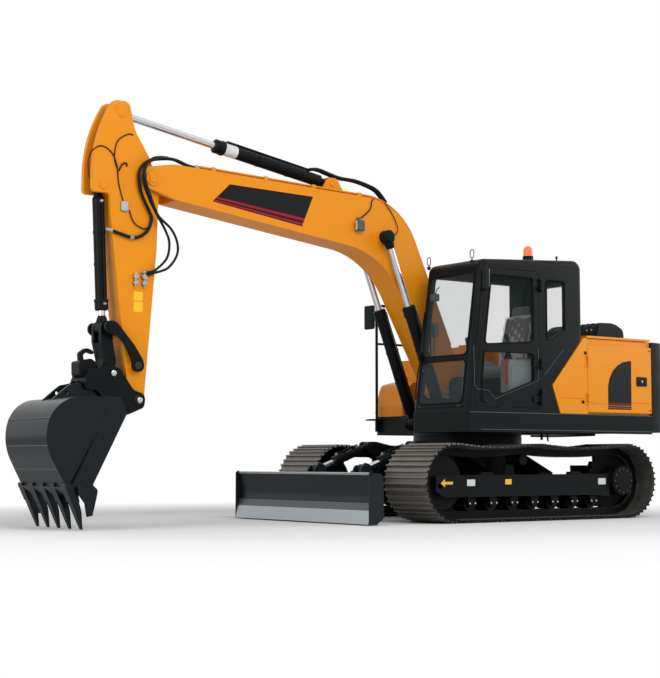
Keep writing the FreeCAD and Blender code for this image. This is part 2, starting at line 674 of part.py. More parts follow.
def make_house_frame():
    """Revolving frame: deck and skirt, centre box and ring flange."""
    body = new_body("house_frame")
    add_pad(body, [deck_outline(dim(0))], S.deck_top - S.deck_low, "plan",
            (S.deck_top + S.deck_low) / 2)
    add_cut(body, [deck_outline(S.skirt_skin)], S.deck_top - S.deck_low - S.deck_skin, "plan",
            (S.deck_top + S.deck_low - S.deck_skin) / 2)
    centre = box_loop(-S.house_rear + 10, S.boom_mid_y - 245, S.deck_nose_x - 10,
                      S.boom_mid_y + 245)
    add_pad(body, [centre], S.deck_top - S.deck_low - 20, "plan",
            (S.deck_top + S.deck_low - 10) / 2)
    add_pad(body, [(dim(0), dim(0), S.ring_outer), (dim(0), dim(0), S.ring_inner)],
            S.deck_low - S.ring_high - 5 + 20, "plan", (S.deck_low + S.ring_high + 5 + 20) / 2)
    add_pad(body, [(dim(0), dim(0), S.ring_mid - S.ring_gap), (dim(0), dim(0), S.ring_inner)],
            S.deck_low - S.centre_high - 5 + 10, "plan",
            (S.deck_low + S.centre_high + 5 + 10) / 2)


def make_boom_brackets():
    """Plates on the deck that hold the boom's foot, and the boom cylinders' ears."""
    body = new_body("boom_brackets")
    fx, fz = FOOT
    low = S.deck_top + S.seat_gap
    nose = S.deck_nose_x + S.seat_gap
    bracket = [(-S.bay_front + 30, low), (fx - 330, fz - 60), (fx - 95, fz + 120, 90),
               (fx + 78, fz + 100, 90), (fx + 84, fz - 60), (S.deck_nose_x + 4, S.deck_top + 60),
               (S.deck_nose_x - 2, low)]
    lx, lz = LIFT_BASE
    ear = [(nose, S.deck_low + 28), (lx, lz - 82, 60), (lx + 75, lz - 60, 60),
           (lx + 75, lz + 75, 60), (lx - 60, lz + 80, 40), (nose, S.deck_top - 5)]
    eye_gap = dim(45) + S.side_play
    for side in (1, -1):
        level = S.boom_mid_y + (S.foot_wide / 2 + S.side_play + 17) * side
        add_pad(body, [bracket], 34, at=level)
        for cheek in (1, -1):
            add_pad(body, [ear], 24,
                    at=S.boom_mid_y + S.lift_offset * side + (eye_gap + 12) * cheek)
        add_pad(body, [(lx, lz, 36)], (eye_gap + 24) * 2 + 12,
                at=S.boom_mid_y + S.lift_offset * side)
    add_pad(body, [(fx, fz, 48)], S.foot_wide + S.side_play * 2 + 34 * 2 + 20, at=S.boom_mid_y)


def make_counterweight():
    """Cast weight across the tail, rounded in plan and at its edges."""
    body = new_body("counterweight")
    half = S.house_half
    front = S.house_rear + S.seat_gap
    plan = [(-front, half), (-S.tail_radius, half, 390), (-S.tail_radius, -half, 390),
            (-front, -half)]
    add_pad(body, [plan], S.hood_top - S.weight_low, "plan",
            (S.hood_top + S.weight_low) / 2)
    recess = box_loop(-front - 190, -half + 240, -front + 50, half - 240, 40)
    add_cut(body, [recess], S.hood_top - S.weight_low - 300, "plan",
            (S.hood_top + S.weight_low) / 2)


def bay_outline(inset):
    return [(-S.bay_front - inset, S.deck_top + inset), (-S.bay_front - inset, S.hood_top - inset),
            (-S.house_rear + inset, S.hood_top - inset), (-S.house_rear + inset, S.deck_top + inset)]


def make_engine_housing():
    """Fixed walls round the engine: bulkhead, rear wall, sills, with door and hood openings."""
    body = new_body("engine_housing")
    skin = S.bay_skin
    wide = (S.house_half - S.panel_skin - S.seat_gap) * 2
    add_pad(body, [bay_outline(S.seat_gap)], wide)
    add_cut(body, [bay_outline(skin)], wide - skin * 2)
    top = box_loop(-S.house_rear + 70, -S.house_half + 160, -S.bay_front - 70,
                   S.house_half - 160)
    add_cut(body, [top], 200, "plan", S.hood_top)
    side = box_loop(-S.house_rear + 70, S.deck_top + 70, -S.bay_front - 70, S.hood_top - 90)
    add_cut(body, [side], S.house_half * 2 + 100)
    hx, hz = HOOD_HINGE
    for y in HOOD_HINGES_Y:
        for step in (-1, 1):
            lug = [(hx - 22, S.hood_top - 6), (hx + 2, S.hood_top - 6), (hx + 12, hz + 12, 10),
                   (hx - 12, hz + 12, 10)]
            add_pad(body, [lug], 16, at=dim(y + 51 * step))
        add_pad(body, [(hx, hz, 5)], 110, at=dim(y))


def make_engine_block():
    body = new_body("engine_block")
    add_pad(body, [box_loop(dim(-1560), S.deck_top + S.bay_skin, dim(-960), S.deck_top + 640, 40)],
            1150, at=-60)


def side_door_levels():
    return S.deck_top + 172, S.hood_top - 258


def side_door_lugs(body, side, face):
    """Hinge lugs and pins for one side door, on the panel in front of it."""
    hx, hy = SIDE_HINGE
    for z in side_door_levels():
        for step in (-1, 1):
            lug = [(hx + 45, face - 2 * side), (hx + 45, face + 4 * side, 2),
                   (hx + 11, (hy + 11) * side, 8), (hx - 11, (hy + 11) * side, 8),
                   (hx - 11, (hy - 9) * side, 6), (hx - 1, (hy - 9) * side),
                   (hx + 4, face - 2 * side)]
            add_pad(body, [lug], 16, "plan", z + (45 + 2 + 8) * step)
        add_pad(body, [(hx, hy * side, 5)], 90 + 4 + 16, "plan", z)


def make_quarter_panel():
    """Fixed panel and cover between the cab's raked rear and the engine bay."""
    body = new_body("left_quarter_panel")
    gap = dim(12)
    skin = S.panel_skin
    corners = [(-S.cab_foot_x - gap, S.deck_top + S.seat_gap), (-S.cab_knee_x - gap, S.cab_knee_z),
               (-S.cab_rear - gap, S.cab_rear_low - 20), (-S.bay_front + 1, S.hood_top),
               (-S.bay_front + 1, S.deck_top + S.seat_gap)]
    wide = S.house_half - S.cab_right_y
    add_pad(body, [corners], wide, at=(S.house_half + S.cab_right_y) / 2)
    inner = [(-S.cab_foot_x - gap * 2 - skin, S.deck_top + skin),
             (-S.cab_knee_x - gap * 2 - skin, S.cab_knee_z),
             (-S.cab_rear - gap - 12, S.cab_rear_low - 75), (-S.bay_front + skin, S.hood_top - 70),
             (-S.bay_front + skin, S.deck_top + skin)]
    add_cut(body, [inner], wide - skin * 2, at=(S.house_half + S.cab_right_y) / 2)
    side_door_lugs(body, 1, S.house_half)


def make_tanks():
    """Fuel tank, oil tank and the low tool box along the right side."""
    fuel = new_body("fuel_tank")
    low = S.deck_top + S.seat_gap
    right = -S.house_half + 5
    add_pad(fuel, [box_loop(dim(-300), right, dim(10), dim(-360), 60)], 700, "plan", low + 350)
    oil = new_body("oil_tank")
    plan = [(-S.bay_front + 5, right), (dim(-304), right, 50), (dim(-304), dim(-360), 50),
            (-S.bay_front + 5, dim(-360))]
    add_pad(oil, [plan], 800, "plan", low + 400)
    side_door_lugs(oil, -1, right)
    box = new_body("tool_box")
    front = S.deck_nose_x - 16
    plan = [(dim(14), right), (front, right, S.deck_corner - 10), (front, right + 560, 40),
            (dim(14), right + 560)]
    add_pad(box, [plan], 430, "plan", low + 215)
    slope = [(dim(130), low + 500), (dim(130), low + 430), (dim(300), low + 390, 120),
             (front, low + 130), (front + 60, low + 130), (front + 60, low + 500)]
    add_cut(box, [slope], 700, at=right + 280)


def make_doors_and_hood():
    """Two side doors hinged on their front edge, and the hood hinged on its front edge."""
    gap = S.door_gap
    low, high = S.deck_top + 22, S.hood_top - 8
    for side, label in ((1, "left_side_door"), (-1, "right_side_door")):
        door = new_body(label)
        level = (S.house_half - S.panel_skin / 2) * side
        leaf = box_loop(-S.house_rear + gap, low, -S.bay_front - gap, high - 60)
        add_pad(door, [leaf], S.panel_skin, at=level)
        hx, hy = SIDE_HINGE
        for z in side_door_levels():
            add_pad(door, [(hx, hy * side, 9)], 90, "plan", z)
            strap = box_loop(hx - 70, (S.house_half + 4) * side - 5, hx,
                             (S.house_half + 4) * side + 4)
            add_pad(door, [strap], 80, "plan", z)
            add_cut(door, [(hx, hy * side, 5 + S.pin_play)], 100, "plan", z)
    hood = new_body("engine_hood")
    panel = box_loop(-S.house_rear + gap, S.hood_top + gap, -S.bay_front - gap,
                     S.hood_top + gap + 26)
    add_pad(hood, [panel], S.house_half * 2 - 20)
    hx, hz = HOOD_HINGE
    for y in HOOD_HINGES_Y:
        for step in (-1, 1):
            add_cut(hood, [box_loop(hx - 40, hz - 60, hx + 30, hz + 10)], 30, at=dim(y + 51 * step))
        add_pad(hood, [(hx, hz, 9)], 80, at=dim(y))
        add_pad(hood, [box_loop(hx - 70, hz - 15, hx, hz - 6)], 72, at=dim(y))
        add_cut(hood, [(hx, hz, 5 + S.pin_play)], 90, at=dim(y))
    cover = new_body("air_intake_cover")
    low = S.hood_top + gap + 26 + S.seat_gap
    back, front = -S.house_rear + 315, -S.bay_front - 295
    hump = [(back, low), (back + 10, low + 105, 70), (back + 150, low + 172, 160),
            (front - 50, low + 165, 90), (front, low)]
    add_pad(cover, [hump], 840, at=690)
    rib = [(back - 10, low), (back, low + 115, 70), (back + 146, low + 184, 160),
           (front - 42, low + 177, 90), (front + 10, low)]
    for i in range(7):
        add_pad(cover, [rib], 40, at=330 + 120 * i)


# ---------------------------------------------------------------- cab

def cab_slope(z):
    """X of the raked windscreen plane at a height, as a Dim."""
    rake = (S.cab_nose_x - S.cab_top_x) / (S.cab_roof_front - S.deck_top)
    return S.cab_nose_x - rake * (z - S.deck_top)


def cab_outline():
    return [(S.cab_nose_x, S.deck_top + S.seat_gap), (S.cab_top_x, S.cab_roof_front, S.cab_round),
            (-S.cab_rear, S.cab_roof, S.cab_round), (-S.cab_rear, S.cab_rear_low),
            (-S.cab_knee_x, S.cab_knee_z), (-S.cab_foot_x, S.deck_top + S.seat_gap)]


HINGE_LEVELS = (dim(1330), dim(1720), dim(2600))


def door_outline(gap):
    """The doorway, or with a gap the leaf that fills it."""
    low = S.door_low + gap
    high = S.door_top - gap
    front = S.door_pillar + gap
    return [(S.door_rear_x + gap, low, 30), (cab_slope(low) - front, low, 60),
            (cab_slope(high) - front, high, 110), (S.door_rear_x + gap, high, 60)]


def side_window():
    return [(dim(-85), dim(1975), 40), (dim(-370), dim(2110), 40), (dim(-370), dim(2665), 50),
            (dim(-85), dim(2665), 50)]


def right_window():
    return [(cab_slope(dim(1350)) - 110, dim(1350), 50), (cab_slope(dim(2700)) - 110, dim(2700), 60),
            (dim(-560), dim(2700), 60), (dim(-560), dim(2120), 60), (dim(-90), dim(1560), 60),
            (dim(-90), dim(1350), 60)]


def front_window(low, high):
    """Pane opening across the raked front, in the front view."""
    return box_loop(S.cab_right_y + 75, low, S.house_half - 75, high, 60)


FRONT_PANES = ((dim(1270), dim(1735)), (dim(1790), dim(2690)))


def inset(corners, by):
    """The outline moved inwards by a small clearance."""
    points = [V(dim(c[0]).value, dim(c[1]).value, 0) for c in corners]
    count = len(points)
    area = sum(points[i - 1].x * points[i].y - points[i].x * points[i - 1].y
               for i in range(count))
    turn = 1 if area > 0 else -1
    moved = []
    for i, corner in enumerate(corners):
        back = (points[i] - points[i - 1]).normalize()
        ahead = (points[(i + 1) % count] - points[i]).normalize()
        first = V(-back.y, back.x, 0) * turn
        second = V(-ahead.y, ahead.x, 0) * turn
        step = (first + second) * (by.value / (1 + first.dot(second)))
        moved.append((corner[0] + step.x, corner[1] + step.y, corner[2] - by))
    return moved


def rear_window():
    return box_loop(S.cab_right_y + 110, dim(2140), S.house_half - 110, dim(2660), 60)


def make_glass():
    """Fixed side and rear panes in one piece each way, and the raked windscreen panes."""
    panes = new_body("cab_glass")
    thick = S.glass_thick
    add_pad(panes, [inset(side_window(), S.seat_gap)], thick, at=S.house_half - 12)
    add_pad(panes, [inset(right_window(), S.seat_gap)], thick, at=S.cab_right_y + 12)
    add_pad(panes, [inset(rear_window(), S.seat_gap)], thick, "front", 12 - S.cab_rear)
    screen = new_body("windscreen")
    rise = (S.cab_roof_front - S.deck_top).value
    lean = math.atan2((S.cab_nose_x - S.cab_top_x).value, rise)
    stretch = 1 / math.cos(lean)
    for low, high in FRONT_PANES:
        pane = box_loop(S.cab_right_y + 75, (low - S.deck_top) * stretch + 2,
                        S.house_half - 75, (high - S.deck_top) * stretch - 2, 60)
        add_pad(screen, [inset(pane, S.seat_gap)], thick, "front", dim(-12))
    tilt = FreeCAD.Rotation(V(0, 1, 0), -math.degrees(lean))
    screen.Placement = FreeCAD.Placement(V(S.cab_nose_x.value, 0, S.deck_top.value), tilt)
    door = new_body("door_glass")
    for pane in door_panes():
        add_pad(door, [inset(pane, S.seat_gap)], thick, at=S.house_half - 12)


def cab_corners(shape):
    """Names of the edges that run along both sides of the roof, the front and the rear."""
    names = []
    for i, edge in enumerate(shape.Edges):
        box = edge.BoundBox
        if box.YLength < 0.01 and box.ZMax > S.cab_rear_low.value + 1:
            names.append("Edge%d" % (i + 1))
    return names


def make_cab():
    """Hollow cab: walls of one thickness, doorway and windows cut through."""
    body = new_body("cab")
    mid = (S.house_half + S.cab_right_y) / 2
    wide = S.house_half - S.cab_right_y
    shell = add_pad(body, [cab_outline()], wide, at=mid)
    DOC.recompute()
    rounded = body.newObject("PartDesign::Fillet", "cab_corner")
    rounded.Base = (shell, cab_corners(shell.Shape))
    bind(rounded, "Radius", S.cab_edge)
    DOC.recompute()
    shell = rounded
    faces = shell.Shape.Faces
    floor = min(range(len(faces)), key=lambda i: faces[i].CenterOfMass.z)
    wall = body.newObject("PartDesign::Thickness", "cab_wall")
    wall.Base = (shell, ["Face%d" % (floor + 1)])
    bind(wall, "Value", S.cab_skin)
    wall.Reversed = True
    wall.Join = 1
    left = S.house_half - S.cab_skin / 2
    add_cut(body, [door_outline(dim(0))], S.cab_skin + 40, at=left)
    add_cut(body, [side_window()], S.cab_skin + 40, at=left)
    add_cut(body, [right_window()], S.cab_skin + 40, at=S.cab_right_y + S.cab_skin / 2)
    nose = (S.cab_nose_x + S.cab_top_x) / 2
    reach = S.cab_nose_x - S.cab_top_x + 160
    for low, high in FRONT_PANES:
        add_cut(body, [front_window(low, high)], reach, "front", nose)
    add_cut(body, [rear_window()], S.cab_skin + 60, "front", -S.cab_rear)
    hx, hy = DOOR_HINGE
    for z in HINGE_LEVELS:
        for step in (-1, 1):
            lug = [(hx - 60, S.house_half - 4), (hx + 5, S.house_half - 4), (hx + 18, hy - 8, 10),
                   (hx + 18, hy + 18, 17), (hx - 18, hy + 18, 17)]
            add_pad(body, [lug], 24, "plan", z + (35 + 2 + 12) * step)
        add_pad(body, [(hx, hy, 11)], 70 + 4 + 40, "plan", z)


def door_panes():
    """Upper and lower pane openings of the door leaf."""
    low = S.door_low + 155
    upper = [(S.door_rear_x + 85, dim(1960), 40),
             (cab_slope(dim(1905)) - S.door_pillar - 70, dim(1905), 40),
             (cab_slope(dim(2670)) - S.door_pillar - 70, dim(2670), 60),
             (S.door_rear_x + 85, dim(2670), 60)]
    lower = [(S.door_rear_x + 85, dim(1530), 40), (dim(560), low, 50),
             (cab_slope(low) - S.door_pillar - 90, low, 60),
             (cab_slope(dim(1830)) - S.door_pillar - 70, dim(1830), 40),
             (S.door_rear_x + 85, dim(1830), 40)]
    return upper, lower


def make_cab_door():
    """Framed door leaf with an upper and a lower pane opening."""
    body = new_body("cab_door")
    left = S.house_half - S.cab_skin / 2
    add_pad(body, [door_outline(S.door_gap)], S.cab_skin, at=left)
    for pane in door_panes():
        add_cut(body, [pane], S.cab_skin + 20, at=left)
    hx, hy = DOOR_HINGE
    for z in HINGE_LEVELS:
        add_pad(body, [(hx, hy, 20)], 70, "plan", dim(z))
        strap = box_loop(hx, S.house_half + 3, hx + 110, S.house_half + 14)
        add_pad(body, [strap], 66, "plan", dim(z))
        pack = box_loop(hx + 30, S.house_half - 4, hx + 110, S.house_half + 5)
        add_pad(body, [pack], 66, "plan", dim(z))
        add_cut(body, [(hx, hy, 11 + S.pin_play)], 90, "plan", dim(z))


def make_seat():
    frame = new_body("seat_base")
    mid = (S.house_half + S.cab_right_y) / 2
    floor = S.deck_top + S.seat_gap
    add_pad(frame, [box_loop(dim(-80), floor, dim(300), floor + 400)], 380, at=mid)
    cushion = new_body("seat_cushion")
    pad = box_loop(dim(-110), floor + 400 + S.seat_gap, dim(380), floor + 520, 50)
    add_pad(cushion, [pad], 500, at=mid)
    back = new_body("seat_backrest")
    lean = [(dim(-120), floor + 520 + S.seat_gap), (dim(10), floor + 520 + S.seat_gap),
            (dim(-70), floor + 1230, 42), (dim(-190), floor + 1230, 42)]
    add_pad(back, [lean], 470, at=mid)
    consoles = new_body("control_consoles")
    for side in (1, -1):
        add_pad(consoles, [box_loop(dim(20), floor, dim(440), floor + 580, 40)], 130,
                at=mid + 325 * side)
        add_pad(consoles, [(dim(390), mid + 325 * side, 18)], 230, "plan", floor + 680)


# ---------------------------------------------------------------- boom, arm and bucket

def make_boom():
    """Cranked box boom with a wide foot boss and a fork at the tip."""
    body = new_body("boom")
    fx, fz = FOOT
    tx, tz = TIP
    mid = S.boom_mid_y
    side = [(fx - 140, fz + 90), (fx - 150, fz - 30, 120), (fx + 10, fz - 160, 110),
            (fx + 150, fz - 70, 60), (fx + S.boom_belly_x, fz + S.boom_belly_z, 1000),
            (tx - 290, tz - 196, 500), (tx + 45, tz - 105, 60), (tx + 108, tz - 20, 60),
            (tx + 78, tz + 110, 80), (tx - 250, tz + 172, 600),
            (fx + S.boom_back_x, fz + S.boom_back_z, 780)]
    add_pad(body, [side], S.boom_wide, at=mid)
    box = [(fx - 66, fz + 200), (fx + 282, fz + 200),
           (fx + S.boom_belly_x - 13, fz + S.boom_belly_z + 18, 1020),
           (tx - 660, tz - 218), (tx - 660, tz + 138),
           (fx + S.boom_back_x + 12, fz + S.boom_back_z - 20, 760)]
    add_cut(body, [box], S.boom_wide - S.box_plate * 2, at=mid)
    add_pad(body, [(fx, fz, S.foot_radius)], S.foot_wide, at=mid)
    add_cut(body, [(fx, fz, 48 + S.pin_play)], S.foot_wide + 20, at=mid)
    slot = [(tx - S.fork_deep, tz - 400), (tx + 400, tz - 400), (tx + 400, tz + 500),
            (tx - 640, tz + 500), (tx - 480, tz + 130), (tx - S.fork_deep, tz - 20, 120)]
    add_cut(body, [slot], S.boom_wide - S.fork_plate * 2, at=mid)
    add_pad(body, [(tx, tz, 64)], S.boom_wide + 24, at=mid)
    add_cut(body, [(tx, tz, 64.5)], S.boom_wide - S.fork_plate * 2, at=mid)
    add_pad(body, [(tx, tz, 45)], S.boom_wide + 40, at=mid)
    cx, cz = CROWD_BASE
    ear = [(cx - 200, cz - 160), (cx + 190, cz - 160), (cx + 60, cz + 60, 55),
           (cx - 60, cz + 60, 55)]
    for cheek in (1, -1):
        add_pad(body, [ear], 28, at=mid + (46 + S.side_play + 14) * cheek)
    add_pad(body, [(cx, cz, 36)], 92 + (S.side_play + 28) * 2 + 16, at=mid)
    ex, ez = LIFT_EYE
    add_pad(body, [(ex, ez, 85)], (S.lift_offset - 49 - S.side_play) * 2, at=mid)


def make_arm():
    """Box arm with a twin-plate head that holds the cylinder ends."""
    body = new_body("arm")
    tx, tz = TIP
    ax, az = ARM_END
    cx, cz = CROWN
    mid = S.boom_mid_y
    side = [(cx - 85, cz + 98, 70), (cx + 95, cz + 98, 75), (tx + 641, tz + 347, 1400),
            (tx + 644, tz - 188, 45), (tx + 450, tz - 188, 40), (tx + 437, tz - 420, 300),
            (ax + 95, az + 80), (ax + 95, az - 85, 85),
            (ax - 88, az - 85, 85), (ax - 92, az + 100), (tx - 84, tz - 700, 600),
            (tx - 102, tz - 60, 160), (tx + 10, tz + 220, 200), (cx - 150, cz - 185, 400)]
    add_pad(body, [side], S.arm_wide, at=mid)
    slot = [(tx + 60, tz + 640), (tx + 130, tz + 400), (tx + 400, tz + 80, 60),
            (tx + 410, tz - 480), (tx + 900, tz - 480), (tx + 900, tz + 1000),
            (tx + 60, tz + 1000)]
    add_cut(body, [slot], S.head_slot, at=mid)
    box = [(ax - 68, az + 520), (ax + 144, az + 520), (ax + 268, az + S.arm_long - 620),
           (tx - 62, az + S.arm_long - 620)]
    add_cut(body, [box], S.arm_wide - S.box_plate * 2, at=mid)
    add_cut(body, [(tx, tz, 45 + S.pin_play)], S.arm_wide + 20, at=mid)
    bx, bz = CURL_BASE
    add_pad(body, [(bx, bz, 32)], S.arm_wide + 20, at=mid)
    add_pad(body, [(cx, cz, 68)], S.arm_wide + 16, at=mid)
    add_cut(body, [(cx, cz, 69)], S.head_slot, at=mid)
    rx, rz = ROCKER
    add_pad(body, [(rx, rz, 62)], S.arm_wide + 70, at=mid)
    for x, z, radius in ((rx, rz, 34), (ax, az, 40)):
        add_cut(body, [(x, z, radius + S.seat_gap)], S.arm_wide + 100, at=mid)


def make_arm_pins():
    """Pins through the arm's lower end: one for the rocker links, one for the coupler."""
    body = new_body("arm_pins")
    for (x, z), radius, wide in ((ROCKER, 34, S.arm_wide + 150), (ARM_END, 40, S.arm_wide + 90)):
        add_pad(body, [(x, z, dim(radius))], wide, at=S.boom_mid_y)


def make_rocker_links():
    """Pair of curved side links, with the half pins that carry the power link."""
    body = new_body("rocker_links")
    rx, rz = ROCKER
    lx, lz = LINK_TOP
    mid = S.boom_mid_y
    curve = [(rx - 63, rz - 62, 58), (rx + 64, rz - 62, 58), (rx + 70, rz + 60, 260),
             (rx + 205, rz + 300, 260), (lx + 66, lz - 58, 60), (lx + 62, lz + 66, 60),
             (lx - 55, lz + 62, 120), (rx + 40, rz + 195, 600), (rx - 63, rz + 40, 120)]
    level = S.arm_wide / 2 + 35 + S.side_play + 15
    for side in (1, -1):
        add_pad(body, [curve], 30, at=mid + level * side)
        add_cut(body, [(rx, rz, 34 + S.pin_play)], 60, at=mid + level * side)
        inner = 52 + S.side_play
        outer = level + 15 + 14
        add_pad(body, [(lx, lz, 34)], outer - inner, at=mid + (outer + inner) / 2 * side)


def make_power_link():
    """Link between the rocker pins and the coupler: two cheeks, a web and a lower eye."""
    body = new_body("power_link")
    lx, lz = LINK_TOP
    hx, hz = HITCH
    mid = S.boom_mid_y
    cheek = [(lx - 68, lz + 68, 66), (lx + 68, lz + 68, 66), (lx + 64, lz - 130, 90),
             (hx + 62, hz + 130, 80), (hx + 44, hz + 40, 30), (hx - 44, hz + 40, 30),
             (hx - 62, hz + 130, 80), (lx - 64, lz - 130, 90)]
    inner = 48 + S.side_play
    for side in (1, -1):
        add_pad(body, [cheek], 48, at=mid + (inner + 24) * side)
        add_cut(body, [(lx, lz, 34 + S.pin_play)], 60, at=mid + (inner + 24) * side)
    neck = [(hx - 55, hz), (hx - 60, hz + 150), (lx - 58, lz - 150), (lx + 58, lz - 150),
            (hx + 62, hz + 150), (hx + 55, hz)]
    add_pad(body, [neck], (inner + 4) * 2, at=mid)
    add_pad(body, [(hx, hz, 66)], (inner + 4) * 2, at=mid)
    add_pad(body, [(hx, hz, 34)], (inner + 4) * 2 + 8, at=mid)


def make_coupler():
    """Pin-grabber coupler: side plates on the arm pin, a hook block over the bucket pins."""
    body = new_body("quick_coupler")
    ax, az = ARM_END
    hx, hz = HITCH
    fx, fz = FRONT_PIN
    rx, rz = REAR_PIN
    mid = S.boom_mid_y
    plate = [(ax - 85, az + 60, 70), (ax + 50, az + 100, 90), (hx - 80, hz + 40, 60),
             (hx + 20, hz + 90, 70), (hx + 140, hz + 60, 50), (rx + 70, rz + 60, 50),
             (rx + 60, rz - 26, 50), (rx - 60, rz - 26, 60), (fx + 60, fz - 50, 50),
             (fx - 50, fz - 60, 50), (ax - 70, az - 70, 60)]
    level = S.arm_wide / 2 + S.side_play + 16
    for side in (1, -1):
        add_pad(body, [plate], 32, at=mid + level * side)
        add_cut(body, [(ax, az, 40 + S.pin_play)], 60, at=mid + level * side)
        stub_in, stub_out = 64 + S.side_play, level + 30
        add_pad(body, [(hx, hz, 34)], stub_out - stub_in - 20,
                at=mid + (stub_out + stub_in + 20) / 2 * side)
    bridge = [(hx + 130, hz + 40, 30), (hx + 262, hz + 40, 30), (rx + 60, rz + 62),
              (rx - 60, rz + 62), (hx + 130, hz - 20)]
    add_pad(body, [bridge], (level + 16) * 2, at=mid)
    block = [(hx + 140, hz + 100, 30), (hx + 205, hz + 142, 40), (hx + 335, hz + 112, 30),
             (hx + 331, hz - 20, 25), (hx + 280, hz - 58), (rx + 60, rz + 62), (hx + 140, hz - 20)]
    add_pad(body, [block], 170, at=mid)
    hook = [(hx + 300, hz + 110), (hx + 306, hz + 200, 40), (hx + 225, hz + 252, 60),
            (hx + 142, hz + 218, 25), (hx + 150, hz + 186, 12), (hx + 222, hz + 206, 25),
            (hx + 262, hz + 180, 25), (hx + 250, hz + 110)]
    add_pad(body, [hook], 44, at=mid)
    jaw = [(fx - 48, fz - 20, 45), (fx - 30, fz + 62, 45), (rx - 70, rz + 80),
           (rx + 50, rz + 80), (rx + 56, rz - 36, 50), (rx - 60, rz - 44, 50),
           (fx + 30, fz - 52, 45)]
    for side in (1, -1):
        add_pad(body, [jaw], 36, at=mid + 62 * side)
        for x, z in (FRONT_PIN, REAR_PIN):
            add_cut(body, [(x, z, 30 + S.seat_gap)], 40, at=mid + 62 * side)


def make_bucket():
    """Digging bucket: side plates, rolled shell, hanger ears, teeth and side cutters."""
    body = new_body("bucket")
    ax, az = ARM_END
    mid = S.boom_mid_y
    t = S.bucket_skin
    outer = [(ax + 324, az - 150), (ax + 399, az + 12), (ax + 1050, az + 4, 330),
             (ax + 1158, az - 425, 480), (ax + 928, az - 846), (ax + 677, az - 824)]
    shell = add_pad(body, [outer], S.bucket_wide, at=mid)
    half = S.bucket_wide / 2
    for side in (1, -1):
        waste = [(ax + 600, mid + (half + 1) * side), (ax + 600, mid + half * side),
                 (ax + 1150, mid + (half - S.bucket_taper) * side),
                 (ax + 1400, mid + (half - S.bucket_taper * 1.4545) * side),
                 (ax + 1400, mid + (half + 1) * side)]
        shell = add_cut(body, [waste], 3000, "plan", az)
    DOC.recompute()
    mouth = ["Face%d" % (i + 1) for i, face in enumerate(shell.Shape.Faces)
             if is_mouth(face, ax.value, az.value)]
    wall = body.newObject("PartDesign::Thickness", "bucket_wall")
    wall.Base = (shell, mouth)
    bind(wall, "Value", t)
    wall.Reversed = True
    wall.Join = 1
    add_teeth(body)
    fx, fz = FRONT_PIN
    rx, rz = REAR_PIN
    ear = [(fx - 55, fz - 15, 45), (fx - 10, fz + 58, 45), (rx - 60, rz + 50, 40),
           (rx + 50, rz + 52, 45), (ax + 725, az + 138, 30), (ax + 778, az + 100, 40),
           (ax + 950, az - 42), (ax + 880, az - 14), (ax + 780, az - 6), (ax + 407, az + 1),
           (ax + 333, az - 150), (fx + 40, fz - 66, 45)]
    for side in (1, -1):
        add_pad(body, [ear], 25, at=mid + 103 * side)
    add_cut(body, [(*LIFT_HOLE, dim(LIFT_HOLE_R))], 260, at=mid)
    for x, z in (FRONT_PIN, REAR_PIN):
        add_pad(body, [(x, z, 30)], 236, at=mid)
    border = [(ax + 324, az - 150), (ax + 397, az + 8), (ax + 450, az + 6), (ax + 899, az - 842),
              (ax + 677, az - 824)]
    cutter = [(ax + 850, az - 830, 20), (ax + 751, az - 770, 20), (ax + 637, az - 870, 30),
              (ax + 649, az - 938), (ax + 690, az - 1110), (ax + 742, az - 1120),
              (ax + 765, az - 996, 30), (ax + 840, az - 900, 30)]
    for side in (1, -1):
        add_pad(body, [border], 14, at=mid + (half + 5) * side)
        add_pad(body, [cutter], 28, at=mid + (half + 12 + 12) * side)
    lip = [(ax + 941, az - 822), (ax + 960, az - 842), (ax + 905, az - 905), (ax + 872, az - 880),
           (ax + 900, az - 842)]
    add_pad(body, [lip], S.bucket_wide, at=mid)
    lx, lz = ax + 915, az - 859
    adapter = [(lx + 62, lz + 60, 20), (lx - 24, lz - 121), (lx - 110, lz - 125),
               (lx - 75, lz + 40, 30)]
    for i in range(int(S.tooth_count.value)):
        add_pad(body, [adapter], 96, at=tooth_level(i))


def tooth_level(i):
    """Sideways place of one tooth."""
    count = int(S.tooth_count.value)
    return S.boom_mid_y + (S.bucket_wide - 100) * (i / (count - 1) - 0.5)


def add_teeth(body):
    """Points that narrow in both views: front outlines, then one cut before and one behind."""
    lx, lz = ARM_END[0] + 915, ARM_END[1] - 859
    run, drop = -0.37, -0.929
    reach = S.tooth_long
    top, low = lz + 100 * drop, lz + reach * drop
    for i in range(int(S.tooth_count.value)):
        y = tooth_level(i)
        outline = [(y - 41, top), (y + 41, top), (y + 38, lz + 200 * drop), (y + 17, low),
                   (y - 17, low), (y - 38, lz + 200 * drop)]
        add_pad(body, [outline], 300, "front", lx - 90)
    ahead = [(lx + 20 + 96 * run, top + 4), (lx + 16 + 200 * run, lz + 200 * drop),
             (lx + 9 + reach * run, low), (lx + 9 + reach * run, low - 10),
             (lx + 200, low - 10), (lx + 200, top + 4)]
    behind = [(lx - 62 + 96 * run, top + 4), (lx - 50 + 230 * run, lz + 230 * drop),
              (lx - 7 + reach * run, low), (lx - 7 + reach * run, low - 10),
              (lx - 400, low - 10), (lx - 400, top + 4)]
    for outline in (ahead, behind):
        add_cut(body, [outline], S.bucket_wide + 40, at=S.boom_mid_y)


def is_mouth(face, ax, az):
    """Whether a flat face of the bucket lies in its open front or under its lip."""
    middle = face.CenterOfMass
    normal = face.normalAt(0, 0)
    if abs(normal.y) > 0.01:
        return False
    front = V(ax + 500, middle.y, az - 487)
    lip = V(ax + 802, middle.y, az - 835)
    return (middle - front).Length < 60 or (middle - lip).Length < 60


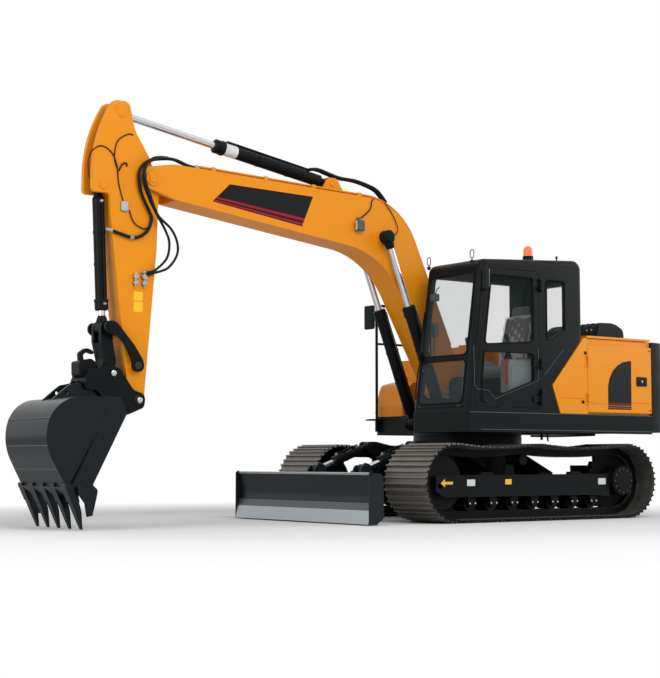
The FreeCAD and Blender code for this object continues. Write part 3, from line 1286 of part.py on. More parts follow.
# ---------------------------------------------------------------- tubes, rail, mirrors, beacon

def pipe(points, radius, bend):
    """A round tube along straight runs joined by tangent arcs."""
    spots = [V(*p) for p in points]
    pieces = []
    start = spots[0]
    for before, corner, after in zip(spots, spots[1:], spots[2:]):
        first, middle, last = arc_points(before, corner, after, bend)
        pieces += [Part.LineSegment(start, first), Part.Arc(first, middle, last)]
        start = last
    pieces.append(Part.LineSegment(start, spots[-1]))
    wire = Part.Wire([piece.toShape() for piece in pieces])
    ring = Part.Circle(spots[0], spots[1] - spots[0], radius).toShape()
    return wire.makePipeShell([Part.Wire([ring])], True, True)


def add_shapes(label, shapes):
    """A sub-part of ready solids."""
    made = DOC.addObject("Part::Feature", label)
    made.Label = label
    joined = shapes[0].multiFuse(shapes[1:]) if len(shapes) > 1 else shapes[0]
    made.Shape = joined
    SUBPARTS.append(made)


def block_between(low, high, rounding=0):
    low, high = V(*low), V(*high)
    size = high - low
    made = Part.makeBox(size.x, size.y, size.z, low)
    return made.makeFillet(rounding, made.Edges) if rounding else made


def make_handrail():
    """Bent tube with a cross rail at the right front corner, and the step at its foot."""
    x, y, top = 480, -1100, 2534
    nose = S.deck_nose_x.value + S.seat_gap.value
    tank = S.deck_top.value + S.seat_gap.value + 700 + 0.3
    rail = pipe([(x, y, 1020), (x, y, top), (-192, y, top), (-192, y, tank)], 17, 90)
    cross = pipe([(x - 10, y, 2066), (-182, y, 2066)], 14, 40)
    step = block_between((nose, -1185, 1134), (586, -1040, 1150))
    bracket = block_between((nose, y - 12, 1000), (x + 17, y + 12, 1136))
    flange = Part.makeCylinder(38, 12, V(-192, y, tank))
    add_shapes("handrail", [rail, cross, step, bracket, flange])


def make_mirrors():
    """Rear-view mirrors: one on the handrail, one beside the cab's front pillar."""
    y = -1100
    right = [block_between((545, y - 115, 2240), (590, y + 60, 2530), 20),
             pipe([(480 + 17.3, y, 2400), (560, y, 2400)], 11, 10)]
    left = [block_between((848, 1254, 2490), (894, 1343, 2722), 20),
            pipe([(872, 1245.4, 2560), (872, 1262, 2560)], 9, 8)]
    mirrors = DOC.addObject("Part::Feature", "mirrors")
    mirrors.Label = "mirrors"
    mirrors.Shape = Part.makeCompound([pair[0].fuse(pair[1]) for pair in (left, right)])
    SUBPARTS.append(mirrors)


def make_beacon():
    """Warning lamp on the cab roof."""
    x, y, roof = -237, 800, 2880
    cab = next(t.Shape for t in SUBPARTS if t.Label == "cab").copy()
    cab.translate(V(0, 0, S.seat_gap.value))
    base = Part.makeCylinder(60, 2988 - roof, V(x, y, roof)).cut(cab)
    lens = Part.makeCylinder(54, 70, V(x, y, 2986)).fuse(
        Part.makeSphere(54, V(x, y, 3053)))
    add_shapes("beacon", [base, lens])


def make_boom_lines():
    """Steel pipes along the boom's back and top, with their clamps."""
    fx, fz = FOOT[0].value, FOOT[1].value
    back = V(fx - 140, 0, fz + 90)
    crank = V(fx + S.boom_back_x.value, 0, fz + S.boom_back_z.value)
    tip = V((TIP[0] - 250).value, 0, (TIP[1] + 172).value)
    climb = (crank - back).normalize()
    along = (tip - crank).normalize()
    off = 26
    bend = 780 + off
    turn = climb.getAngle(along)
    outward = (V(-climb.z, 0, climb.x) + V(-along.z, 0, along.x)).normalize()
    corner = crank + outward * (off / math.cos(turn / 2))
    start = back + climb * 420 + V(-climb.z, 0, climb.x) * off
    end = tip + V(-along.z, 0, along.x) * off - along * 262
    mid = S.boom_mid_y.value
    shapes = []
    for y in (-150, -118, 118, 150):
        shift = V(0, mid + y, 0)
        shapes.append(pipe([start + shift, corner + shift, end + shift], 10, bend))
    slope = math.degrees(math.atan2(along.z, along.x))
    for side in (-134, 134):
        for run in (0.22, 0.45, 0.68, 0.92):
            spot = corner + (end - corner) * run
            clamp = Part.makeBox(46, 76, off + 13.7, V(-23, mid + side - 38, 0.3 - off))
            clamp.rotate(V(0, 0, 0), V(0, 1, 0), -slope)
            clamp.translate(spot)
            shapes.append(clamp)
    fused = shapes[0].multiFuse(shapes[1:])
    lines = DOC.addObject("Part::Feature", "boom_lines")
    lines.Label = "boom_lines"
    lines.Shape = fused
    SUBPARTS.append(lines)


# ---------------------------------------------------------------- build, check and write

def build():
    for side, word in ((1, "left"), (-1, "right")):
        make_track(side, word + "_track")
        make_sprocket(side, word + "_sprocket")
        make_idler(side, word + "_idler")
    make_rollers()
    make_carriers()
    make_centre_frame()
    make_side_frames()
    make_blade_mount()
    make_swing_ring()
    make_rams()
    make_blade()
    make_house_frame()
    make_boom_brackets()
    make_counterweight()
    make_engine_housing()
    make_engine_block()
    make_quarter_panel()
    make_tanks()
    make_doors_and_hood()
    make_cab()
    make_cab_door()
    make_glass()
    make_seat()
    make_boom()
    make_arm()
    make_arm_pins()
    make_rocker_links()
    make_power_link()
    make_coupler()
    make_bucket()
    make_handrail()
    make_mirrors()
    make_beacon()
    make_boom_lines()


def check():
    """Stop if any feature failed or any sub-part is empty or invalid."""
    for thing in DOC.Objects:
        if "Invalid" in thing.State or "Error" in thing.State:
            raise RuntimeError("%s failed: %s" % (thing.Name, thing.State))
    for thing in SUBPARTS:
        if thing.Shape.isNull() or not thing.Shape.isValid():
            raise RuntimeError(thing.Label + " has no valid shape")


def centre_origin():
    """Move every sub-part so that the machine's box is centred over the origin."""
    box = FreeCAD.BoundBox()
    for thing in SUBPARTS:
        box.add(thing.Shape.BoundBox)
    shift = FreeCAD.Placement(V(-box.Center.x, -box.Center.y, -box.ZMin), FreeCAD.Rotation())
    for thing in SUBPARTS:
        thing.Placement = shift.multiply(thing.Placement)
    return shift.Base


def write():
    os.makedirs("parts", exist_ok=True)
    for thing in SUBPARTS:
        thing.Shape.exportStep("parts/%s.step" % thing.Label)


build()
DOC.recompute()
check()
SHIFT = centre_origin()
check()
write()
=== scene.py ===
"""Looks of the crawler excavator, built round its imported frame.

Every sub-assembly of the machine is a class that dresses the frame's nodes and adds the
pieces that only the eye needs: seals, bolts, hoses, stripes, grilles and the padded seat.
Sizes are in millimetres: X forward from the slewing axis, Y to the left, Z up.
"""

import json
import logging
import math
from dataclasses import dataclass, field
from enum import Enum
from typing import Any, Callable, Iterable, Sequence

import bmesh
import bpy
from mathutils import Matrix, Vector

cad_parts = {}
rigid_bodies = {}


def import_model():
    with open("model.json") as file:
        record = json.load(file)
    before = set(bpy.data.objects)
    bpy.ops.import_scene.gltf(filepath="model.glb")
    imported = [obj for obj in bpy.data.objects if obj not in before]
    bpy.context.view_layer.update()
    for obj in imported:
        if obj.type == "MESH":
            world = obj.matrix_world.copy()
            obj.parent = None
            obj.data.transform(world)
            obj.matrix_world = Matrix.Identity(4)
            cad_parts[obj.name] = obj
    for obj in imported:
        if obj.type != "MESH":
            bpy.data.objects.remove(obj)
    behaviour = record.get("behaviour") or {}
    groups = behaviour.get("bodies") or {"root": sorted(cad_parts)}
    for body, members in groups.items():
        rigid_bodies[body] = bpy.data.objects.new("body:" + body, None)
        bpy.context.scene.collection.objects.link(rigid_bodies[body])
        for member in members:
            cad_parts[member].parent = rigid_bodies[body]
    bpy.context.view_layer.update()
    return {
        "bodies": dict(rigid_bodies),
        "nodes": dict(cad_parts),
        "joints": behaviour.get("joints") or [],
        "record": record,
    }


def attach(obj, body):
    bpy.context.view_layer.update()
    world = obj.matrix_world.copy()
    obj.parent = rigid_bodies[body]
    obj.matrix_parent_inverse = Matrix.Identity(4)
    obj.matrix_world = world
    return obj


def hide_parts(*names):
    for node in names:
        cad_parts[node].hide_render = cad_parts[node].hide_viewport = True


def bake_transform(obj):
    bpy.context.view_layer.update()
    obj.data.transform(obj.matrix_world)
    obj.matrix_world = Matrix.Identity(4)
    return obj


LOG = logging.getLogger("excavator")
Point = Sequence[float]

# The machine's sides: the sign of Y and the word in a piece's name.
SIDES = ((1, "left"), (-1, "right"))
# How thick a film is drawn: thicker than a real one, so that it stands clear of the panel.
FILM_MM = 1.6


def linear(shade: str) -> tuple[float, float, float, float]:
    """Turn an sRGB shade of six hex digits into linear red, green, blue and alpha.

    Args:
        shade: The digits, with no sign before them.

    Returns:
        Four numbers from 0 to 1.
    """
    parts = [int(shade[i:i + 2], 16) / 255 for i in (0, 2, 4)]
    flat = [c / 12.92 if c <= 0.04045 else ((c + 0.055) / 1.055) ** 2.4 for c in parts]
    return (flat[0], flat[1], flat[2], 1.0)


def settle(piece: bpy.types.Object) -> None:
    """Turn a piece's modifiers into its mesh.

    Args:
        piece: The object.
    """
    ready = piece.evaluated_get(bpy.context.evaluated_depsgraph_get())
    data = bpy.data.meshes.new_from_object(ready)
    piece.modifiers.clear()
    piece.data = data


@dataclass
class Nodes:
    """Short ways to fill a node tree."""

    tree: Any

    @classmethod
    def of(cls, owner: Any) -> "Nodes":
        """The emptied tree of a material or world.

        Args:
            owner: The material or world.

        Returns:
            The tree, ready to fill.
        """
        owner.use_nodes = True
        owner.node_tree.nodes.clear()
        return cls(owner.node_tree)

    def add(self, kind: str, inputs: dict[Any, Any] | None = None, **settings: Any) -> Any:
        """Add one node.

        Args:
            kind: The node's type name.
            inputs: Socket name or number to its value or to the output that feeds it.
            **settings: Properties of the node itself.

        Returns:
            The new node.
        """
        made = self.tree.nodes.new(kind)
        for key, value in settings.items():
            setattr(made, key, value)
        for key, value in (inputs or {}).items():
            if isinstance(value, bpy.types.NodeSocket):
                self.tree.links.new(value, made.inputs[key])
            else:
                made.inputs[key].default_value = value
        return made

    def maths(self, operation: str, *values: Any) -> Any:
        """The output of a sum on sockets or numbers."""
        return self.add("ShaderNodeMath", dict(enumerate(values)), operation=operation).outputs[0]

    def ranged(self, value: Any, **ends: float) -> Any:
        """A value mapped from one range to another, such as From_Min and To_Max."""
        named = {key.replace("_", " "): end for key, end in ends.items()}
        return self.add("ShaderNodeMapRange", {**named, "Value": value}).outputs[0]

    def mixed(self, share: Any, first: Any, second: Any) -> Any:
        """Two shades mixed."""
        return self.add("ShaderNodeMix", {0: share, 6: first, 7: second},
                        data_type="RGBA").outputs[2]

    def split(self, vector: Any) -> Any:
        """The outputs X, Y and Z of a vector."""
        return self.add("ShaderNodeSeparateXYZ", {0: vector}).outputs

    def surface(self, share: Any, first: Any, second: Any, kind: str) -> None:
        """Lead a mix of two shaders to the output of a material or world.

        Args:
            share: How much of the second is seen.
            first: The shader at 0.
            second: The shader at 1.
            kind: Material or World.
        """
        both = self.add("ShaderNodeMixShader", {0: share, 1: first.outputs[0],
                                                2: second.outputs[0]})
        self.add("ShaderNodeOutput" + kind, {0: both.outputs[0]})


# ---------------------------------------------------------------- finishes


@dataclass(frozen=True)
class Finish:
    """A surface: its shade, its gloss, and the grain that the light picks out."""

    name: str
    shade: str
    roughness: float = 0.4
    metallic: float = 0.0
    coat: float = 0.0
    sheen: float = 0.0
    alpha: float = 1.0
    transmission: float = 0.0
    # A painted glow: the surface emits light though it is no lit lamp.
    painted_glow: float = 0.0
    specular: float = 0.5
    grain_mm: float = 3.0
    grain_depth_mm: float = 0.05
    mottle: float = 0.06
    mottle_mm: float = 260.0
    # Paler edges: partly rubbed paint, partly a painted highlight.
    rubbed_and_highlit_edge_shade: str = ""
    edge_mm: float = 5.0
    rubbed_and_highlit_edge_amount: float = 0.35
    # Painted shade on the faces that turn sideways.
    painted_side_shade: str = ""
    dust: float = 0.0
    dust_shade: str = "6f6255"
    weave_mm: float = 0.0
    streak: Point = (1.0, 1.0, 1.0)

    def material(self) -> bpy.types.Material:
        """Build the material once and hand it back after that.

        Returns:
            The material.
        """
        old = bpy.data.materials.get(self.name)
        if old:
            return old
        made = bpy.data.materials.new(self.name)
        nodes = Nodes.of(made)
        place = nodes.add("ShaderNodeTexCoord").outputs["Object"]
        spread = nodes.add("ShaderNodeMapping", {"Scale": tuple(self.streak),
                                                 "Vector": place}).outputs[0]
        broad, fine = (nodes.add("ShaderNodeTexNoise", {
            "Scale": 1000 / size, "Detail": detail, "Vector": spread}).outputs["Fac"]
            for size, detail in ((self.mottle_mm, 4.0), (self.grain_mm, 2.0)))
        normal = None
        if self.edge_mm:
            normal = nodes.add("ShaderNodeBevel", {"Radius": self.edge_mm / 1000},
                               samples=4).outputs[0]
        colour = self._colour(nodes, broad, fine, normal)
        if self.grain_depth_mm:
            sockets = {"Strength": 0.6, "Distance": self.grain_depth_mm / 1000,
                       "Height": self._weave(nodes, place) if self.weave_mm else fine}
            if normal:
                sockets["Normal"] = normal
            normal = nodes.add("ShaderNodeBump", sockets).outputs[0]
        rough = nodes.ranged(broad, To_Min=max(self.roughness - 0.06, 0.02),
                             To_Max=min(self.roughness + 0.08, 1.0))
        shader = nodes.add("ShaderNodeBsdfPrincipled", {
            "Base Color": colour, "Roughness": rough, "Metallic": self.metallic,
            "Alpha": self.alpha, "Coat Weight": self.coat, "Coat Roughness": 0.08,
            "Sheen Weight": self.sheen, "Specular IOR Level": self.specular,
            "Transmission Weight": self.transmission})
        if normal:
            nodes.tree.links.new(normal, shader.inputs["Normal"])
        # Painted glow.
        if self.painted_glow:
            shader.inputs["Emission Color"].default_value = linear(self.shade)
            shader.inputs["Emission Strength"].default_value = self.painted_glow
        nodes.add("ShaderNodeOutputMaterial", {"Surface": shader.outputs[0]})
        return made

    def _colour(self, nodes: Nodes, broad: Any, fine: Any, rounded: Any) -> Any:
        """The mottled shade, with edges that are partly rubbed and partly a painted highlight,
        painted shade on the faces turned sideways, and dust.

        Args:
            nodes: The material's tree.
            broad: Noise as wide as the mottles.
            fine: Noise as fine as the grain.
            rounded: The normal with its edges rounded.

        Returns:
            The colour's output.
        """
        base = linear(self.shade)[:3]
        colour = nodes.mixed(broad, tuple(c * (1 - self.mottle) for c in base) + (1.0,),
                             tuple(min(c * (1 + self.mottle), 1) for c in base) + (1.0,))
        flat = nodes.add("ShaderNodeNewGeometry").outputs["Normal"]
        # Paler edges where the rounded normal turns from the flat one: partly rubbed paint, partly
        # a painted highlight.
        if self.rubbed_and_highlit_edge_shade:
            same = nodes.add("ShaderNodeVectorMath", {0: rounded, 1: flat},
                             operation="DOT_PRODUCT").outputs["Value"]
            turn = nodes.ranged(same, From_Min=0.995, From_Max=0.82)
            share = nodes.maths("MULTIPLY", nodes.maths("MULTIPLY", turn, self.rubbed_and_highlit_edge_amount),
                                nodes.ranged(fine, From_Min=0.3, From_Max=0.62))
            colour = nodes.mixed(share, colour, linear(self.rubbed_and_highlit_edge_shade))
        # Painted shade: faces that turn sideways are darkened.
        if self.painted_side_shade:
            side_mask_for_painted_shade = nodes.maths("ABSOLUTE", nodes.split(flat)["Y"])
            colour = nodes.mixed(nodes.ranged(side_mask_for_painted_shade, From_Min=0.5, From_Max=0.8), colour,
                                 linear(self.painted_side_shade))
        if self.dust:
            upward = nodes.ranged(nodes.split(flat)["Z"], From_Min=-0.2, From_Max=1.0,
                                  To_Max=self.dust)
            colour = nodes.mixed(nodes.maths("MULTIPLY", upward, broad), colour,
                                 linear(self.dust_shade))
        return colour

    def _weave(self, nodes: Nodes, place: Any) -> Any:
        """Threads over and under each other, as a height.

        Args:
            nodes: The material's tree.
            place: The object's coordinates.

        Returns:
            The height's output.
        """
        size = 1000 / self.weave_mm * math.pi
        split = nodes.split(place)
        x, y, z = (nodes.maths("SINE", nodes.maths("MULTIPLY", split[axis], size))
                   for axis in "XYZ")
        return nodes.maths("ADD", nodes.maths("MULTIPLY", x, y), z)


# Real orange peel, grit and threads are finer than a render of the whole machine can show,
# so every grain and weave is drawn two to five times as coarse as the real one.

# Sprayed and baked enamel: smooth, with a soft gloss and a faint orange peel, drawn 4 mm wide
# where the real one is about 1.5 mm.
# Its paler edges are partly rubbed paint, partly a painted highlight.
YELLOW = Finish("machine_yellow_enamel", "ea9006", coat=0.06, specular=0.22, grain_mm=4,
                grain_depth_mm=0.03, mottle=0.03, rubbed_and_highlit_edge_shade="f5b24a", rubbed_and_highlit_edge_amount=0.25)
# Satin chassis enamel, black with a green-blue cast, paler at its edges: partly thinner paint at
# welded edges, partly a painted highlight.
BLACK = Finish("satin_black_enamel", "0a0f11", coat=0.02, specular=0.1, grain_mm=5, mottle=0.12,
               rubbed_and_highlit_edge_shade="3e4849", rubbed_and_highlit_edge_amount=0.4)
# The same paint on running gear: duller, rougher and a little dusty.
# Its paler edges are partly rubbed paint, partly a painted highlight.
GEAR = Finish("chassis_black_enamel", "0c0e0f", 0.5, specular=0.1, grain_mm=6,
              grain_depth_mm=0.12, mottle=0.18, rubbed_and_highlit_edge_shade="404444", rubbed_and_highlit_edge_amount=0.4, dust=0.05)
# Grey enamel of small fittings, with paler edges of painted highlight that outline them against
# the black.
GREY = Finish("dark_grey_enamel", "3c4547", coat=0.15, mottle=0.05, rubbed_and_highlit_edge_shade="7b8486")
# Rolled shoe steel: a pale shade that paints the lit faces, painted shade on the faces that turn
# sideways, and bright edges that are partly rubbed steel and partly a painted highlight.
SHOE = Finish("rolled_shoe_steel", "75726d", 0.42, metallic=0.75, specular=0.2, grain_mm=9,
              grain_depth_mm=0.35, mottle=0.25, mottle_mm=90, rubbed_and_highlit_edge_shade="a49c92", edge_mm=7,
              rubbed_and_highlit_edge_amount=0.8, painted_side_shade="0e0f10", dust=0.1)
# Ground rods: clear mirror streaks.
CHROME = Finish("ground_hard_chrome", "d6d8dc", 0.12, metallic=1, grain_mm=1.5,
                grain_depth_mm=0.004, mottle=0.02)
# The weight's paint over cast iron: dull and pitted, from sand grains of 1 to 2 mm.
# Its paler edges are partly rubbed paint, partly a painted highlight.
CASTING = Finish("painted_iron_casting", "111516", 0.55, specular=0.12, grain_mm=4.5,
                 grain_depth_mm=0.35, mottle=0.12, rubbed_and_highlit_edge_shade="4a4f50")
# Drilled pin faces, black outside, with paler edges that are partly wear where they turn and
# partly a painted highlight.
PIN = Finish("black_pin_steel", "16191a", 0.42, metallic=0.3, rubbed_and_highlit_edge_shade="aeb2b4",
             rubbed_and_highlit_edge_amount=0.7)
# The bucket's glossier enamel, which shows broad soft reflections.
# Its paler edges are partly rubbed paint, partly a painted highlight.
BUCKET = Finish("bucket_black_enamel", "081216", 0.28, coat=0.04, specular=0.2, grain_mm=6,
                grain_depth_mm=0.06, mottle=0.12, mottle_mm=340, rubbed_and_highlit_edge_shade="55605f",
                rubbed_and_highlit_edge_amount=0.5)
# Mouldboard enamel, a little bluer and glossier than the frame's.
# Its paler edges are partly rubbed paint, partly a painted highlight.
BLADE = Finish("mouldboard_black_enamel", "11191c", 0.34, coat=0.05, specular=0.2, grain_mm=5,
               mottle=0.1, rubbed_and_highlit_edge_shade="54605f", rubbed_and_highlit_edge_amount=0.45)
# Pale matt plastic of the consoles and linings, with a fine grain.
CONSOLE = Finish("console_grey_plastic", "6f7a78", 0.55, grain_mm=1.8, grain_depth_mm=0.1,
                 mottle=0.05)
# Engine enamel over rough iron.
ENGINE = Finish("engine_grey_enamel", "5b5f60", 0.5, grain_mm=5, grain_depth_mm=0.3)
# Dark moulded plastic, matt, with a leather-like grain of half a millimetre drawn coarser.
PLASTIC = Finish("moulded_grained_plastic", "1c2022", 0.62, specular=0.15, grain_mm=1.8,
                 grain_depth_mm=0.12, mottle=0.05)
# Side panes: nearly clear, with a faint green.
GLASS = Finish("tinted_safety_glass", "3d4c4a", 0.04, alpha=0.09, grain_mm=400,
               grain_depth_mm=0, mottle=0, edge_mm=0, specular=0.25)
# The front screen is a little smokier than the side panes.
SMOKED = Finish("smoked_safety_glass", "5d6a70", 0.05, alpha=0.13, grain_mm=400,
                grain_depth_mm=0, mottle=0.15, mottle_mm=900, edge_mm=0, specular=0.3)
# The beacon's lens, with a faint painted glow that stands in for the light that passes it.
AMBER = Finish("moulded_amber_lens", "ff6f10", 0.15, coat=0.6, transmission=0.25, painted_glow=0.35)
# Flat clear reflections.
MIRROR = Finish("silvered_mirror", "c8ced2", 0.04, metallic=1, mottle=0, grain_depth_mm=0,
                edge_mm=0)
# Seat fabric: matt threads with a soft bloom at its turning edges. They lie about 1 mm apart
# on the real cloth and are drawn at 4 mm, so that the weave shows.
CLOTH = Finish("woven_seat_fabric", "5a5d5e", 0.85, sheen=0.4, weave_mm=4, grain_depth_mm=0.5,
               mottle=0.1)
# Clear film over the seat: pale crumpled glints.
FILM = Finish("clear_seat_cover", "d4d8da", 0.2, alpha=0.5, coat=0.6, grain_mm=60,
              grain_depth_mm=6, mottle=0.02)
# The belt's tight red weave, drawn at 3 mm for threads of 1 mm.
WEBBING = Finish("red_seat_belt_webbing", "c01a1e", 0.6, sheen=0.3, weave_mm=3,
                 grain_depth_mm=0.3)
# Seals: the deepest black round the panes.
RUBBER = Finish("rubber_seal", "08090a", 0.6, specular=0.12, grain_depth_mm=0.08, mottle=0.05)
# Hoses: black with the print of their cloth wrapping, about 1 mm on the real ones.
HOSE = Finish("wrapped_hose_rubber", "0b0c0d", 0.5, specular=0.2, grain_mm=2.4,
              grain_depth_mm=0.2)
# Plated fittings: pale grey metal, slightly cloudy.
ZINC = Finish("zinc_plated_fitting", "a9adb0", 0.34, metallic=0.9, grain_mm=2,
              grain_depth_mm=0.03, mottle=0.08)
# Turned pin ends and roller bolts: the brightest points on the black.
BRIGHT = Finish("turned_pin_end", "b8bcc0", 0.28, metallic=0.9)
# The blade's cutting edge and rolled top: pale steel brushed along its length. On the cutting edge
# the paleness is partly a painted reflection of the floor; on the rolled top it is a painted
# highlight.
PALE_STEEL_PAINTED_SHEEN = Finish("pale_steel_with_painted_sheen", "a3abb0", 0.36, metallic=0.55, grain_mm=12, mottle=0.1,
                    streak=(1, 0.1, 1))
# Film on the doors and the boom: flat and even beside the enamel.
VINYL = Finish("dark_vinyl_film", "121418", coat=0.03, specular=0.12, mottle=0.03)
# The red stripes and bands.
RED_VINYL = Finish("red_vinyl_film", "9c1226", specular=0.2, mottle=0.03)
# Bare white patches.
WHITE_VINYL = Finish("white_vinyl_film", "d9dcdc", 0.45, mottle=0.02)
# Bare yellow patches, greener than the enamel.
SIGN_YELLOW = Finish("yellow_vinyl_film", "f6c400", 0.45, mottle=0.02)
# The work lamp's clear lens.
LAMP = Finish("clear_lamp_lens", "d8dde0", 0.08, coat=0.8, alpha=0.7)
# Dark glass of the monitor and the sight gauge.
SCREEN = Finish("display_glass", "0a0d12", 0.1, coat=0.7)


class Slot(Enum):
    """The record's material slots, each with the finish that it gets."""

    YELLOW = ("yellow_paint", YELLOW)
    BLACK = ("black_paint", BLACK)
    TRACK = ("track_steel", SHOE)
    CHROME = ("chrome_rod", CHROME)
    WEIGHT = ("cast_weight", CASTING)
    ENGINE = ("engine_iron", ENGINE)
    FABRIC = ("seat_fabric", CLOTH)
    PLASTIC = ("cab_plastic", PLASTIC)
    GLASS = ("tinted_glass", GLASS)
    AMBER = ("amber_lens", AMBER)


# ---------------------------------------------------------------- workshop


class Plane(Enum):
    """The axes that an outline's pairs stand for, and the third one."""

    SIDE = (0, 2, 1)
    PLAN = (0, 1, 2)
    FRONT = (1, 2, 0)


class Repeat(Enum):
    """What a row or ring repeats."""

    HEX = "hexagon head"
    STUD = "round stud"
    BAR = "flat bar"


SIDE, PLAN, FRONT = Plane
HEX, STUD, BAR = Repeat


def rounded(outline: Sequence[Point], radius: float, steps: int = 4) -> list[Point]:
    """Replace the corners of a closed outline by curves.

    Args:
        outline: Corners as pairs.
        radius: How far the curve keeps from a square corner.
        steps: Pieces of each curve.

    Returns:
        More corners, in the same order.
    """
    smooth = []
    count = len(outline)
    for i in range(count):
        a, b, c = (Vector(outline[(i + k) % count][:2]) for k in (-1, 0, 1))
        u, v = (a - b).normalized(), (c - b).normalized()
        reach = min(radius / max(math.tan(u.angle(v) / 2), 0.05), (a - b).length * 0.48,
                    (c - b).length * 0.48)
        first, last = b + u * reach, b + v * reach
        for k in range(steps + 1):
            t = k / steps
            smooth.append(tuple(first * (1 - t) ** 2 + b * (2 * t * (1 - t)) + last * t ** 2))
    return smooth


def pane(left: float, low: float, right: float, high: float, radius: float = 0.0) -> list[Point]:
    """A rectangle's outline, its corners rounded."""
    corners = [(left, low), (right, low), (right, high), (left, high)]
    return rounded(corners, radius) if radius else corners


def between(a: Point, b: Point, share: float) -> tuple[float, ...]:
    """The point that lies this share of the way from one point to another."""
    return tuple(p + (q - p) * share for p, q in zip(a, b))


def angles(count: int) -> list[float]:
    """Even steps round a circle, in radians."""
    return [2 * math.pi * k / count for k in range(count)]


